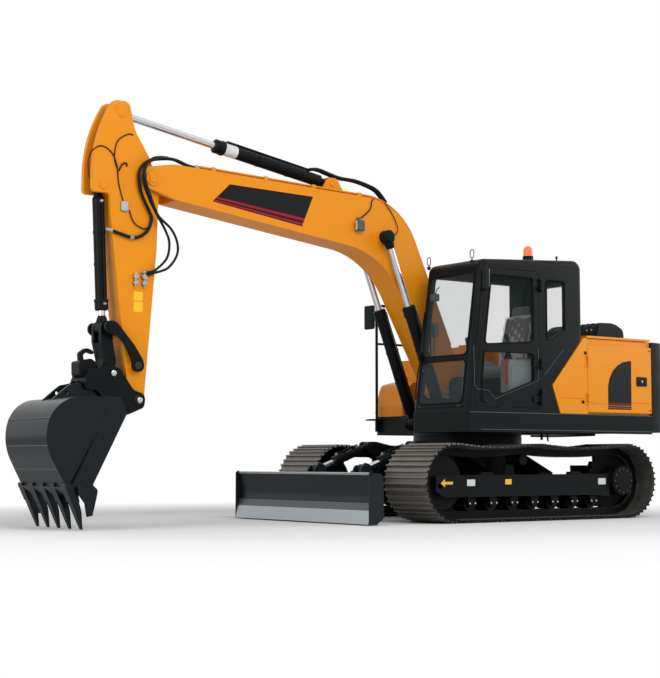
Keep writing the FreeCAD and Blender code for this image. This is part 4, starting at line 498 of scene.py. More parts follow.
@dataclass
class Workshop:
    """Every sub-assembly is a workshop.
    """

    frame: dict[str, Any]
    swing_x: float = field(init=False)
    mesh: bmesh.types.BMesh = field(init=False)

    def __post_init__(self) -> None:
        """Read where the slewing axis stands, and begin the first mesh."""
        self.swing_x = next(joint["pos_m"][0] for joint in self.frame["joints"]
                            if joint["name"] == "swing")
        self.mesh = bmesh.new()

    def at(self, x: float, y: float, z: float) -> Vector:
        """A spot of the machine in the frame's metres."""
        return Vector((x / 1000 + self.swing_x, y / 1000, z / 1000))

    def bare(self, name: str) -> bpy.types.Object:
        """Turn the forms drawn so far into an object with no finish.

        Args:
            name: The object's name.

        Returns:
            The new object.
        """
        data = bpy.data.meshes.new(name)
        self.mesh.to_mesh(data)
        self.mesh.free()
        self.mesh = bmesh.new()
        made = bpy.data.objects.new(name, data)
        bpy.context.scene.collection.objects.link(made)
        return made

    def finish(self, name: str, body: str, finish: Finish, smooth: float = 35) -> bpy.types.Object:
        """Turn the forms drawn so far into a piece that rides on a body.

        Args:
            name: The piece's name.
            body: The body that carries it; empty leaves it on no body.
            finish: Its surface.
            smooth: Edges flatter than this many degrees are shaded smooth.

        Returns:
            The new object.
        """
        bmesh.ops.remove_doubles(self.mesh, verts=self.mesh.verts, dist=1e-6)
        bmesh.ops.recalc_face_normals(self.mesh, faces=self.mesh.faces)
        made = self.bare(name)
        made.data.materials.append(finish.material())
        made.data.shade_smooth()
        made.data.set_sharp_from_angle(angle=math.radians(smooth))
        if body:
            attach(made, body)
        LOG.info("%s rides on %s with %d faces", name, body, len(made.data.polygons))
        return made

    def soften(self, edges: Iterable[bmesh.types.BMEdge], rounding: float) -> None:
        """Round some edges.

        Args:
            edges: The edges.
            rounding: The radius; 0 leaves them.
        """
        if rounding:
            bmesh.ops.bevel(self.mesh, geom=list(edges), offset=rounding / 1000, segments=2,
                            affect="EDGES", clamp_overlap=True)

    def skin(self, rings: list[list[Any]], hollow: bool = False) -> list[bmesh.types.BMFace]:
        """Join rings of vertices.

        Args:
            rings: The rings; one may be a single vertex.
            hollow: Whether the last ring joins the first, in place of a face at each end.

        Returns:
            The faces at the ends.
        """
        for low, high in zip(rings, rings[1:] + rings[:1] if hollow else rings[1:]):
            for i in range(max(len(low), len(high))):
                corners = [low[i % len(low)], low[(i + 1) % len(low)],
                           high[(i + 1) % len(high)], high[i % len(high)]]
                kept = list(dict.fromkeys(corners))
                if len(kept) > 2:
                    self.mesh.faces.new(kept)
        ends = () if hollow else (rings[0][::-1], rings[-1])
        return [self.mesh.faces.new(ring) for ring in ends if len(ring) > 2]

    def slab(self, outline: Sequence[Point], plane: Plane, level: float, thick: float = FILM_MM,
             rounding: float = 0.0) -> None:
        """Add a plate.

        Args:
            outline: Its corners as pairs.
            plane: The axes of the pairs.
            level: The middle of the plate on the third axis.
            thick: Its thickness.
            rounding: Radius of its long edges.
        """
        rows = []
        for deep in (level - thick / 2, level + thick / 2):
            spots = [dict(zip(plane.value, (*pair, deep))) for pair in outline]
            rows.append([self.mesh.verts.new(self.at(s[0], s[1], s[2])) for s in spots])
        ends = self.skin(rows)
        self.soften({edge for face in ends for edge in face.edges}, rounding)

    def block(self, low: Point, high: Point, rounding: float = 0.0) -> None:
        """Add a box between two corners, its edges rounded.

        Args:
            low: The corner with the lesser numbers.
            high: The other corner.
            rounding: Radius of the edges.
        """
        made = bmesh.ops.create_cube(self.mesh, size=1.0)["verts"]
        a, b = self.at(*low), self.at(*high)
        for vert in made:
            vert.co = Vector([a[i] + (b[i] - a[i]) * (vert.co[i] + 0.5) for i in range(3)])
        self.soften({edge for vert in made for edge in vert.link_edges}, rounding)

    def lathe(self, base: Point, along: Point, profile: Iterable[Point], sides: int = 32,
              hollow: bool = False) -> None:
        """Add a turned form.

        Args:
            base: Where its axis starts.
            along: The axis.
            profile: (distance along the axis, radius) pairs.
            sides: Faces round it.
            hollow: Whether the profile closes on itself, which makes a ring.
        """
        turn = Vector(along).normalized().to_track_quat("Z", "Y").to_matrix()
        start = self.at(*base)
        self.skin([[self.mesh.verts.new(start + turn @ (Vector((
            math.cos(a) * radius, math.sin(a) * radius, far)) / 1000))
            for a in (angles(sides) if radius else [0.0])] for far, radius in profile], hollow)

    def smooth_path(self, points: Sequence[Point], step: float = 0.03) -> list[Vector]:
        """A smooth line through points.

        Args:
            points: What it passes through, in millimetres.
            step: About how far apart its own points lie, in metres.

        Returns:
            Its points in the frame's metres.
        """
        spots = [self.at(*p) for p in points]
        ends = [spots[0] * 2 - spots[1]] + spots + [spots[-1] * 2 - spots[-2]]
        line = []
        for a, b, c, d in zip(ends, ends[1:], ends[2:], ends[3:]):
            count = max(2, int((c - b).length / step))
            for i in range(count):
                t = i / count
                line.append(0.5 * (2 * b + (c - a) * t + (2 * a - 5 * b + 4 * c - d) * t ** 2
                                   + (3 * b - a - 3 * c + d) * t ** 3))
        return line + [spots[-1]]

    def tube(self, points: Sequence[Point], radius: float, sides: int = 12,
             smooth: bool = True) -> None:
        """Add a round bar or hose along a line.

        Args:
            points: The line's points.
            radius: The bar's radius.
            sides: Faces round it.
            smooth: Whether the line is drawn smoothly through its points.
        """
        line = self.smooth_path(points) if smooth else [self.at(*p) for p in points]
        side = (line[1] - line[0]).normalized().orthogonal().normalized()
        rings = []
        for i, spot in enumerate(line):
            ahead = (line[min(i + 1, len(line) - 1)] - line[max(i - 1, 0)]).normalized()
            side = (side - ahead * side.dot(ahead)).normalized()
            across = ahead.cross(side)
            rings.append([self.mesh.verts.new(spot + (side * math.cos(a) + across * math.sin(a))
                                              * radius / 1000) for a in angles(sides)])
        self.skin(rings)

    def repeat(self, name: str, spots: Sequence[Point], form: Repeat, size: Point, turn: Point,
               body: str, finish: Finish) -> None:
        """Make one piece of copies of a small form, by a geometry node tree.

        Args:
            name: The piece's name.
            spots: Where the copies stand.
            form: What is copied.
            size: Its radius, height and length.
            turn: Euler angles in degrees that turn the form's +Z outwards.
            body: The body that carries it.
            finish: Its surface.
        """
        for spot in spots:
            self.mesh.verts.new(self.at(*spot))
        piece = self.bare(name)
        adder = piece.modifiers.new("repeat", "NODES")
        adder.node_group = tree = self.repeat_tree(form, finish)
        numbers = {"Turn": [math.radians(a) for a in turn], "Radius": size[0] / 1000,
                   "Height": size[1] / 1000, "Length": size[2] / 1000}
        for socket in tree.interface.items_tree:
            if socket.name in numbers:
                adder[socket.identifier] = numbers[socket.name]
        settle(piece)
        piece.data.name = name
        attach(piece, body)
        LOG.info("%s: %d copies on %s", name, len(spots), body)

    def repeat_tree(self, form: Repeat, finish: Finish) -> bpy.types.NodeTree:
        """The tree: spots in, one small form on each, real geometry out.

        Args:
            form: What stands on each spot.
            finish: Its surface.

        Returns:
            The new tree.
        """
        tree = bpy.data.node_groups.new("repeat_" + form.name.lower(), "GeometryNodeTree")
        for label, kind in (("Spots", "Geometry"), ("Radius", "Float"), ("Height", "Float"),
                            ("Length", "Float"), ("Turn", "Vector")):
            tree.interface.new_socket(label, in_out="INPUT", socket_type="NodeSocket" + kind)
        tree.interface.new_socket("Pieces", in_out="OUTPUT", socket_type="NodeSocketGeometry")
        nodes = Nodes(tree)
        given = nodes.add("NodeGroupInput").outputs
        if form is BAR:
            size = nodes.add("ShaderNodeCombineXYZ", {"X": given["Radius"], "Y": given["Length"],
                                                      "Z": given["Height"]})
            shape = nodes.add("GeometryNodeMeshCube", {"Size": size.outputs[0]})
        else:
            shape = nodes.add("GeometryNodeMeshCylinder", {
                "Vertices": 6 if form is HEX else 16, "Radius": given["Radius"],
                "Depth": given["Height"]})
        dots = nodes.add("GeometryNodeMeshToPoints", {"Mesh": given["Spots"]})
        turn = nodes.add("FunctionNodeEulerToRotation", {0: given["Turn"]})
        copies = nodes.add("GeometryNodeInstanceOnPoints", {
            "Points": dots.outputs[0], "Instance": shape.outputs[0],
            "Rotation": turn.outputs[0]})
        real = nodes.add("GeometryNodeRealizeInstances", {0: copies.outputs[0]})
        dressed = nodes.add("GeometryNodeSetMaterial", {"Geometry": real.outputs[0],
                                                        "Material": finish.material()})
        nodes.add("NodeGroupOutput", {0: dressed.outputs[0]})
        return tree


# ---------------------------------------------------------------- sub-assemblies


@dataclass
class Coat(Workshop):
    """Dresses the frame's own nodes."""

    finishes: dict[str, Finish] = field(default_factory=lambda: {
        "left_sprocket": GEAR, "right_sprocket": GEAR, "left_idler": GEAR, "right_idler": GEAR,
        "track_rollers": GEAR, "carrier_rollers": GEAR, "boom_lines": YELLOW, "arm_pins": PIN,
        "bucket": BUCKET, "control_consoles": CONSOLE, "air_intake_cover": PLASTIC,
        "dozer_blade": BLADE, "windscreen": SMOKED, "engine_housing": YELLOW})

    def build(self) -> None:
        """Give every node its own finish or that of its slot."""
        by_slot = dict(slot.value for slot in Slot)
        slots = {s["node"]: s["material_slot"] for s in self.frame["record"]["subparts"]}
        for name, piece in self.frame["nodes"].items():
            chosen = self.finishes.get(name) or by_slot[slots[name]]
            piece.data.materials.clear()
            piece.data.materials.append(chosen.material())
            LOG.info("%s is finished in %s", name, chosen.name)


@dataclass
class RunningGear(Workshop):
    """Bolts, covers and bare stickers of the two track frames."""

    gauge: float = 1990.0
    beam_face: float = 180.0
    collar_face: float = 148.0
    rollers: int = 7
    roller_first: float = -897.0
    roller_last: float = 945.0
    roller_z: float = 191.0
    hub_x: float = -1297.0
    axle_z: float = 425.0
    hub_face: float = 225.0

    def build(self) -> None:
        """Make every piece of both sides."""
        for side, word in SIDES:
            self.roller_bolts(side, word)
            self.hub_cover(side, word)
            self.beam_steps(side, word)
        self.stickers()

    def roller_bolts(self, side: int, word: str) -> None:
        """Two bright bolts on each roller's outer collar.

        Args:
            side: 1 for the left, -1 for the right.
            word: The side's name.
        """
        pitch = (self.roller_last - self.roller_first) / (self.rollers - 1)
        level = (self.gauge / 2 + self.collar_face) * side
        spots = [(self.roller_first + pitch * i + step, level, self.roller_z + 8)
            for i in range(self.rollers) for step in (-38, 38)]
        self.repeat(word + "_roller_bolts", spots, HEX, (11, 16, 0), (90, 0, 0), "undercarriage",
            BRIGHT)

    def hub_cover(self, side: int, word: str) -> None:
        """The final drive's domed cover and its ring of bolts.

        Args:
            side: 1 for the left, -1 for the right.
            word: The side's name.
        """
        face = (self.gauge / 2 + self.hub_face) * side
        self.lathe((self.hub_x, face - side, self.axle_z), (0, side, 0),
            [(0, 0), (0, 150), (5, 150), (8, 146), (8, 118), (16, 112), (19, 60), (19, 30),
            (24, 27), (24, 0)], 40)
        self.finish(word + "_hub_cover", "undercarriage", GEAR, 30)
        ring = [(self.hub_x + 132 * math.cos(a), face + 9 * side, self.axle_z + 132 * math.sin(a))
            for a in angles(12)]
        self.repeat(word + "_hub_bolts", ring, HEX, (9, 10, 0), (90, 0, 0), "undercarriage", GREY)

    def beam_steps(self, side: int, word: str) -> None:
        """Grip plates on top of the beam, its rolled lips and its bolts.

        Args:
            side: 1 for the left, -1 for the right.
            word: The side's name.
        """
        level = self.gauge / 2 * side
        outer = (self.gauge / 2 + self.beam_face) * side
        for low, high in ((668, 838), (-672, -509)):
            self.slab([(low, 501), (high, 501), (high - 6, 530), (low + 6, 530)], SIDE,
                outer - 45 * side, 80, 3)
        for z, end in ((498, 1470), (272, 1370)):
            self.slab(pane(-1110, z - 4, end, z + 4), SIDE, outer + side, 5, 1.5)
        self.block((-940, level - 60, 501), (-720, level + 60, 512), 4)
        self.finish(word + "_beam_grips", "undercarriage", BLACK)
        bolts = [(x, outer + 1.5 * side, z) for x in (-820, -300, 230, 760, 1290)
            for z in (300, 470)]
        self.repeat(word + "_beam_bolts", bolts, HEX, (7, 7, 0), (90, 0, 0), "undercarriage", GEAR)

    def stickers(self) -> None:
        """Bare film patches and the travel arrow on each beam's outer face."""
        arrow = [(1415, 418), (1355, 461), (1355, 433), (1245, 433), (1245, 403), (1355, 403),
            (1355, 375)]
        for side, word in SIDES:
            level = (self.gauge / 2 + self.beam_face + 0.8) * side
            self.slab(arrow, SIDE, level)
            self.slab(pane(403, 397, 498, 454, 5), SIDE, level)
            self.finish(word + "_travel_arrow", "undercarriage", SIGN_YELLOW)
            for low, high in ((932, 1047), (-1063, -940)):
                self.slab(pane(low, 384, high, 454, 5), SIDE, level)
            self.finish(word + "_beam_patches", "undercarriage", WHITE_VINYL)


@dataclass
class BladeTrim(Workshop):
    """Edge bars in bands of painted floor reflection, face skin, rolled top with a painted
    highlight, and corner balls of the dozer blade.
    """

    half: float = 1245.0

    def build(self) -> None:
        """Make the blade's pieces."""
        low = [(2409, 11), (2418, 13), (2397, 122), (2388, 152), (2379, 150), (2389, 119)]
        high = [(2388, 153), (2376, 178), (2354, 228), (2347, 226), (2368, 175), (2379, 151)]
        # The two edge bars paint the floor's reflection on the blade's lower curve: pale steel
        # below, a grey-blue band above.
        for word, outline, finish in (("low", low, PALE_STEEL_PAINTED_SHEEN), ("high", high, GREY)):
            self.slab(outline, SIDE, 0, self.half * 2 - 36, 1.0)
            self.finish("blade_edge_painted_reflection_" + word, "blade", finish)
        face = [(2352, 232), (2345.8, 267), (2344, 300), (2346.5, 340), (2352.3, 380),
            (2358.5, 420), (2364.6, 460), (2369.8, 490), (2376.8, 505)]
        self.slab([(x + 4.5, z) for x, z in face] + [(x - 2, z) for x, z in face[::-1]], SIDE, 0,
            self.half * 2 - 42)
        self.finish("blade_face_sheet", "blade", BLADE, 40)
        # The rolled top is drawn in pale steel as a painted highlight.
        self.tube([(2374, -self.half + 40, 521), (2374, 0, 521), (2374, self.half - 40, 521)], 14,
            16, False)
        self.finish("blade_top_painted_highlight", "blade", PALE_STEEL_PAINTED_SHEEN, 50)
        for side in (1, -1):
            ball = [(22 * math.sin(a) + 22, 22 * math.cos(a)) for a in (math.pi * (k / 8 - 0.5)
                for k in range(9))]
            ball[0], ball[-1] = (0, 0), (44, 0)
            self.lathe((2384, (self.half - 14) * side, 497), (0, 0, 1), ball, 20)
        self.finish("blade_corner_balls", "blade", BLACK, 50)


@dataclass
class HouseTrim(Workshop):
    """Plain side films, latches, pressed lines, intake, louvres, tanks, deck and tail."""

    side: float = 1246.0

    def build(self) -> None:
        """Make the house's pieces."""
        self.flash()
        self.latches()
        self.lines_and_seals()
        self.intake_cover()
        self.louvres()
        self.tanks()
        self.deck()
        self.tail()

    def flash(self) -> None:
        """The dark film shape with its stripes on both engine doors."""
        tall = [(-1050, 1285), (-1050, 1500), (-1075, 1592), (-1128, 1678), (-1205, 1745),
            (-1300, 1789), (-1400, 1806), (-1438, 1807), (-1433, 1285)]
        for side, word in SIDES:
            body = word + "_side_door"
            level = (self.side + 0.8) * side
            self.slab(rounded(tall, 12), SIDE, level)
            for low, high in ((1262, 1278), (1240, 1256)):
                self.slab(pane(-1046, low, -1434, high), SIDE, level)
            self.finish(word + "_door_film", body, VINYL)
            for low, high in ((1296, 1304), (1312, 1317)):
                self.slab(pane(-1052, low, -1433, high), SIDE, level + 0.8 * side, 1.0)
            self.finish(word + "_door_stripes", body, RED_VINYL)

    def latches(self) -> None:
        """Recess, paddle, lock and bolts of each engine door, and the panel's bolts."""
        for side, word in SIDES:
            body = word + "_side_door"
            self.slab(pane(-1697, 1517, -1524, 1625, 14), SIDE, (self.side + 3) * side, 8, 2)
            self.slab(pane(-1672, 1540, -1560, 1602, 10), SIDE, (self.side + 8) * side, 4, 1)
            self.finish(word + "_door_latch", body, BLACK)
            self.lathe((-1612, (self.side + 9) * side, 1572), (0, side, 0),
                [(0, 0), (0, 13), (3, 13), (4, 11), (4, 0)], 20)
            self.slab(pane(-1619, 1556, -1605, 1588), SIDE, (self.side + 13) * side, 4, 1)
            self.finish(word + "_door_lock", body, ZINC)
            self.repeat(word + "_door_bolts", [(-1750, (self.side + 1) * side, z)
                for z in (1235, 1935)], HEX, (10, 8, 0), (90, 0, 0), body, BLACK)
        spots = [(-686, self.side + 1, 1871), (-640, self.side + 1, 1314)]
        self.repeat("panel_bolts", spots, STUD, (19, 12, 0), (90, 0, 0), "house", BLACK)

    def lines_and_seals(self) -> None:
        """Pressed lines of the side panels, pale strips of painted highlight along the skirt's
        edges, and the drain pipes.
        """
        for body, low, high, level in (("house", -700, -315, 1360),
                ("left_side_door", -1042, -790, 1305), ("left_side_door", -1768, -1450, 1326)):
            self.slab(pane(low, level - 5, high, level + 5, 4), SIDE, self.side + 1, 5, 2)
            self.finish("pressed_line_%d" % abs(low), body, YELLOW)
        # Pale grey strips paint the highlight along the skirt's top edge and along its lower line.
        for side in (1, -1):
            self.slab(pane(-1780, 1168, 1060 if side > 0 else 300, 1176), SIDE,
                (self.side + 1) * side, 4, 1.5)
            self.slab(pane(-1780, 985, 900 if side > 0 else 250, 992), SIDE,
                (self.side + 1) * side, 3, 1)
        self.finish("skirt_painted_highlight_lines", "house", GREY)
        self.tube([(-420, 900, 962), (-420, 900, 910), (-424, 902, 872)], 10)
        self.tube([(-520, 700, 962), (-520, 700, 890)], 14)
        self.finish("drain_pipe", "house", BLACK)

    def intake_cover(self) -> None:
        """Ribs, clips and slots of the black cover on the hood, the slots drawn as black bars of
        painted shade, and the fittings beside it.
        """
        for y in (300, 1068):
            self.slab([(-1455, 2076), (-1030, 2076), (-1050, 2210), (-1120, 2236), (-1400, 2236),
                (-1450, 2190)], SIDE, y, 10, 3)
        self.tube([(-1462, 330, 2120), (-1462, 690, 2120), (-1462, 1050, 2120)], 9, 10)
        self.finish("intake_ribs", "engine_hood", BLACK)
        # Black bars paint the shade inside the cover's slots.
        slots = [(-1240, 400 + 82 * i, 2246) for i in range(8)]
        self.repeat("intake_slot_painted_shade", slots, BAR, (300, 10, 16), (0, 0, 0), "engine_hood", RUBBER)
        for y in (960, 1030):
            self.block((-1016, y - 14, 2150), (-1008, y + 14, 2176), 3)
        self.finish("intake_clips", "engine_hood", ZINC)
        for x in (-1500, -980):
            for y in (-900, 0):
                self.block((x - 60, y - 50, 2070), (x + 60, y + 50, 2076), 2)
        self.lathe((-1560, -760, 2070), (0, 0, 1), [(0, 0), (0, 78), (6, 78), (8, 52), (70, 50),
            (90, 44), (90, 0)], 28)
        self.finish("hood_fittings", "engine_hood", BLACK)

    def louvres(self) -> None:
        """Rows of cooling slots on the right door, drawn as dark bars of painted shade."""
        # Dark bars paint the shade inside the slots.
        spots = [(-1150 - 330 * c, -(self.side + 2), 1500 + 44 * r) for c in range(2)
            for r in range(9)]
        spots = [(x + 60, y, z) for x, y, z in spots if not (x < -1400 and z < 1660)]
        self.repeat("door_louvre_painted_shade", spots, BAR, (250, 14, 8), (30, 0, 0), "right_side_door",
            PLASTIC)

    def tanks(self) -> None:
        """Caps, sight glass and covers on the right of the house."""
        for x, y, top in ((-150, -980, 1880), (-510, -980, 1980)):
            self.lathe((x, y, top - 1), (0, 0, 1), [(0, 0), (0, 74), (10, 74), (14, 56), (46, 56),
                (52, 48), (52, 0)], 28)
            self.block((x - 52, y - 10, top + 48), (x + 52, y + 10, top + 64), 4)
        self.finish("tank_caps", "house", BLACK)
        self.slab(pane(-640, 1350, -590, 1660, 10), SIDE, -(self.side + 2), 6, 2)
        self.finish("oil_sight_glass", "house", SCREEN)
        for x, y in ((-715, -700), (-300, -700), (-300, -1100), (-715, -1100)):
            self.block((x + 40, y - 26, 1878 if x > -400 else 1978),
                (x + 100, y + 26, 1884 if x > -400 else 1984), 2)
        self.tube([(20, -1215, 1236), (418, -1215, 1236)], 5, 8, False)
        self.finish("tank_pads", "house", YELLOW)
        self.slab(pane(231, 1270, 277, 1323, 6), SIDE, -1241.2)
        self.finish("tool_box_patch", "house", WHITE_VINYL)
        self.slab(pane(130, 1420, 300, 1470, 10), SIDE, -1243, 8, 2)
        self.lathe((215, -1246, 1445), (0, -1, 0), [(0, 0), (0, 12), (4, 12), (4, 0)], 16)
        self.finish("tool_box_latch", "house", BLACK)

    def deck(self) -> None:
        """Grip studs on the steps, hoses and valve parts between cab and tool box."""
        spots = [(455 + 26 * i, -1160 + 30 * k, 1152) for i in range(5) for k in range(4)]
        self.repeat("step_studs", spots, STUD, (9, 5, 0), (0, 0, 0), "house", GEAR)
        self.block((-240, -300, 1182), (60, -232, 1330), 8)
        for k in range(6):
            x = -620 + 62 * k
            self.tube([(x, -300, 1184), (x + 14, -286, 1260), (x + 40, -300, 1350),
                (x + 90, -320, 1420)], 13, 10)
        for k in range(5):
            z = 1230 + 54 * k
            self.tube([(120, 300, z), (260, 298, z + 16), (420, 306, z - 8), (560, 312, z - 30)],
                13, 10)
        self.finish("deck_hoses", "house", HOSE)
        for k in range(5):
            z = 1230 + 54 * k
            self.lathe((556, 312, z - 30), (1, 0, -0.1), [(0, 0), (0, 17), (26, 17), (26, 20),
                (44, 20), (44, 0)], 6)
        self.finish("deck_hose_ends", "house", ZINC)
        self.tube([(-1700, -700, 966), (-1700, -200, 960), (-1700, 400, 966)], 16, 10)
        self.finish("belly_bar", "house", BLACK)

    def tail(self) -> None:
        """Reflectors and lifting eyes of the counterweight."""
        for side in (1, -1):
            self.slab(pane(1010 * side, 1120, 900 * side, 1165, 8), FRONT, -2107, 8, 2)
        self.finish("tail_reflectors", "house", RED_VINYL)
        for side in (1, -1):
            self.tube([(-1900, 830 * side, 2036), (-1900, 830 * side, 2052),
                (-1925, 830 * side, 2064), (-2010, 830 * side, 2064), (-2035, 830 * side, 2052),
                (-2035, 830 * side, 2036)], 12, 10)
        self.finish("lifting_eyes", "house", BLACK)


@dataclass
class CabTrim(Workshop):
    """Seals, door hardware, wiper, mirror faces, roof fittings and the inside of the cab."""

    def screen_x(self, z: float) -> float:
        """Where the front screen's plane is at a height."""
        return 1117 - 0.1392 * (z - 1180)

    def ring(self, outline: Sequence[Point], place: Callable[[Point], Point], radius: float = 7.0,
             reach: float = 45.0) -> None:
        """Add a seal that runs round a pane.

        Args:
            outline: Corners of the pane as pairs.
            place: Turns a pair into a spot.
            radius: The seal's thickness.
            reach: Radius of its corners.
        """
        way = rounded(outline, reach)
        self.tube([place(p) for p in way + way[:1]], radius, 8, False)

    def build(self) -> None:
        """Make the cab's pieces."""
        self.seals()
        self.door_hardware()
        self.wiper()
        self.mirror_faces()
        self.roof_fittings()
        self.inside()
        self.belt()

    def seals(self) -> None:
        """Rubber round every pane, on the body that carries it."""
        top = self.screen_x(2690)
        for low, high in ((1790, 2690), (1270, 1735)):
            self.ring([(1170, low), (1170, high), (425, high), (425, low)],
                lambda p: (self.screen_x(p[1]) + 3, p[0], p[1]), 8, 60)
        self.ring([(-85, 1975), (-370, 2110), (-370, 2665), (-85, 2665)],
            lambda p: (p[0], 1247, p[1]), 8)
        self.ring(pane(460, 2140, 1135, 2660), lambda p: (-656, p[0], p[1]), 8)
        self.ring([(top - 60, 1350), (top - 60, 2700), (-560, 2700), (-560, 2120), (-90, 1560),
            (-90, 1350)], lambda p: (p[0], 349, p[1]), 8)
        self.finish("cab_seals", "house", RUBBER, 60)
        slope = self.screen_x
        self.ring([(115, 1960), (slope(1905) - 175, 1905), (slope(2670) - 175, 2670), (115, 2670)],
            lambda p: (p[0], 1247, p[1]), 8)
        self.ring([(115, 1530), (560, 1380), (slope(1380) - 195, 1380), (slope(1830) - 175, 1830),
            (115, 1830)], lambda p: (p[0], 1247, p[1]), 8)
        self.finish("door_seals", "cab_door", RUBBER, 60)

    def door_hardware(self) -> None:
        """Lock, trim line and hinges of the door, and a dark line of painted shade along the
        crease beside it.
        """
        hexagon = [(829 + 78 * math.cos(a), 1328 + 66 * math.sin(a)) for a in angles(6)]
        self.slab(rounded(hexagon, 16), SIDE, 1249, 10, 3)
        self.lathe((829, 1253, 1328), (0, 1, 0), [(0, 0), (0, 44), (5, 44), (7, 40), (5, 34),
            (3, 30), (3, 0)], 28)
        self.slab(pane(790, 1318, 868, 1340, 8), SIDE, 1259, 8, 2)
        self.finish("door_lock", "cab_door", BLACK)
        trim = [(1000, 1880), (996, 1460), (960, 1420), (852, 1410), (790, 1405), (752, 1368),
            (715, 1322), (690, 1322), (64, 1532), (50, 1560), (50, 1900)]
        self.tube([(x, 1248, z) for x, z in trim], 3.5, 8, False)
        self.finish("door_trim_line", "cab_door", GREY, 60)
        # A dark line paints the shade in the crease.
        self.tube([(-40, 1247, 1600), (-335, 1247, 1890)], 4, 8, False)
        self.finish("cab_side_crease_painted_shade", "house", GREY, 60)
        for z in (1400, 2560):
            self.lathe((8, 1262, z - 40), (0, 0, 1), [(0, 0), (0, 15), (3, 17), (77, 17), (80, 15),
                (80, 0)], 16)
            self.slab(pane(-46, z - 30, 8, z + 30), SIDE, 1250, 7, 2)
        self.finish("door_hinges", "house", BLACK)

    def wiper(self) -> None:
        """Parked wiper with its motor cover, and the bars that hold the front screen."""
        x = self.screen_x
        self.block((x(1800) + 4, 398, 1752), (x(1800) + 46, 456, 1846), 8)
        self.tube([(x(1800) + 34, 424, 1800), (x(2060) + 36, 418, 2060),
            (x(2300) + 26, 424, 2300)], 7, 8)
        self.tube([(x(1990) + 18, 440, 1990), (x(2240) + 18, 436, 2240),
            (x(2520) + 18, 440, 2520)], 6, 8)
        self.tube([(x(1760) + 12, 410, 1760), (x(1600) + 14, 392, 1600), (x(1420) + 12, 392, 1420),
            (x(1330) + 8, 396, 1330)], 7, 8)
        self.finish("wiper", "house", RUBBER)
        for z in (1762, 1230, 2745):
            self.slab(pane(412, z - 8, 1182, z + 8), FRONT, x(z) + 4, 9, 2)
        self.finish("screen_bars", "house", BLACK)
        bolts = [(x(z) + 5, y, z) for z in (1240, 1640) for y in (470, 1120)]
        self.repeat("screen_bolts", bolts, HEX, (9, 9, 0), (0, 82, 0), "house", GREY)

    def mirror_faces(self) -> None:
        """Silvered faces and bent arms of the mirrors."""
        self.slab(pane(-1208, 2254, -1052, 2518, 26), FRONT, 543.5, 2.6, 1)
        self.slab(pane(1262, 2500, 1336, 2712, 20), FRONT, 846.5, 2.6, 1)
        self.finish("mirror_faces", "house", MIRROR)
        self.tube([(791, 1240, 2690), (802, 1276, 2706), (850, 1296, 2708)], 10, 10)
        self.tube([(868, 1240, 2480), (872, 1270, 2484), (880, 1292, 2500)], 10, 10)
        self.finish("mirror_arms", "house", BLACK)

    def roof_fittings(self) -> None:
        """Loops at the roof's front edge, the antenna and the beacon's collar."""
        for y, low, high in ((332, 2842, 2934), (1059, 2850, 2944)):
            self.tube([(850, y, 2800), (850, y, low), (850, y - 26, low + 22),
                (850, y - 28, high - 20), (850, y - 10, high), (850, y + 14, high),
                (850, y + 30, high - 20), (850, y + 28, low + 22), (850, y, low)], 5, 8)
            self.block((836, y - 20, 2796), (864, y + 20, 2836), 6)
        self.tube([(-494, 1000, 2915), (-494, 1000, 2960)], 8, 8, False)
        self.lathe((-494, 1000, 2958), (0, 0, 1), [(0, 0), (0, 12), (6, 14), (20, 14), (30, 6),
            (31, 0)], 12)
        self.lathe((-237, 800, 2921), (0, 0, 1), [(0, 59), (0, 76), (8, 76), (12, 61.5),
            (66, 61.5), (67, 59)], 28, True)
        self.finish("roof_fittings", "house", BLACK, 45)

    def inside(self) -> None:
        """Sticks with their boots, pedals, mat, shelf, monitor, linings and arm rests."""
        for y in (472, 1122):
            self.lathe((392, y, 1920), (0.15, 0, 1), [(0, 0), (0, 20), (12, 25), (56, 21),
                (96, 26), (118, 24), (128, 14), (130, 0)], 20)
            for k in range(5):
                self.lathe((390, y, 1762 + 16 * k), (0, 0, 1), [(0, 20), (0, 52 - 6 * k),
                    (8, 54 - 6 * k), (16, 46 - 6 * k), (16, 20)], 20, True)
        for y in (720, 870):
            self.tube([(700, y, 1186), (730, y, 1300), (740, y, 1420), (728, y, 1530)], 10, 10)
            self.block((690, y - 46, 1236), (820, y + 46, 1250), 5)
            self.lathe((728, y, 1520), (0, 0, 1), [(0, 0), (0, 20), (44, 24), (56, 12), (57, 0)],
                16)
        self.block((600, 480, 1181), (980, 1120, 1190), 4)
        self.block((-560, 470, 1900), (-300, 1150, 1930), 10)
        self.finish("cab_controls", "house", PLASTIC, 50)
        self.block((850, 408, 2020), (900, 500, 2180), 10)
        self.tube([(870, 440, 1800), (872, 440, 1920), (872, 450, 2030)], 10, 8)
        self.block((862, 424, 2424), (930, 536, 2508), 10)
        self.tube([(760, 404, 2600), (830, 440, 2560), (880, 470, 2500)], 6, 8)
        self.finish("monitor_shell", "house", GREY)
        self.slab(pane(418, 2034, 490, 2166, 6), FRONT, 848.5, 3, 1)
        self.finish("monitor_glass", "house", SCREEN)
        self.block((-560, 356, 2060), (-350, 370, 2700), 6)
        self.finish("rear_post_lining", "house", PLASTIC)
        self.slab([(-540, 2704), (760, 2704), (740, 2778), (-540, 2806)], SIDE, 368, 8, 2)
        self.finish("side_head_lining", "house", CONSOLE)
        for y in (472, 1122):
            self.slab(pane(60, y - 40, 250, y + 40, 18), PLAN, 1770, 30, 8)
            self.slab(rounded([(30, 1420), (420, 1420), (400, 1700), (60, 1700)], 50), SIDE,
                y + (66 if y > 800 else -66), 10, 3)
        self.finish("arm_rests", "house", CONSOLE)

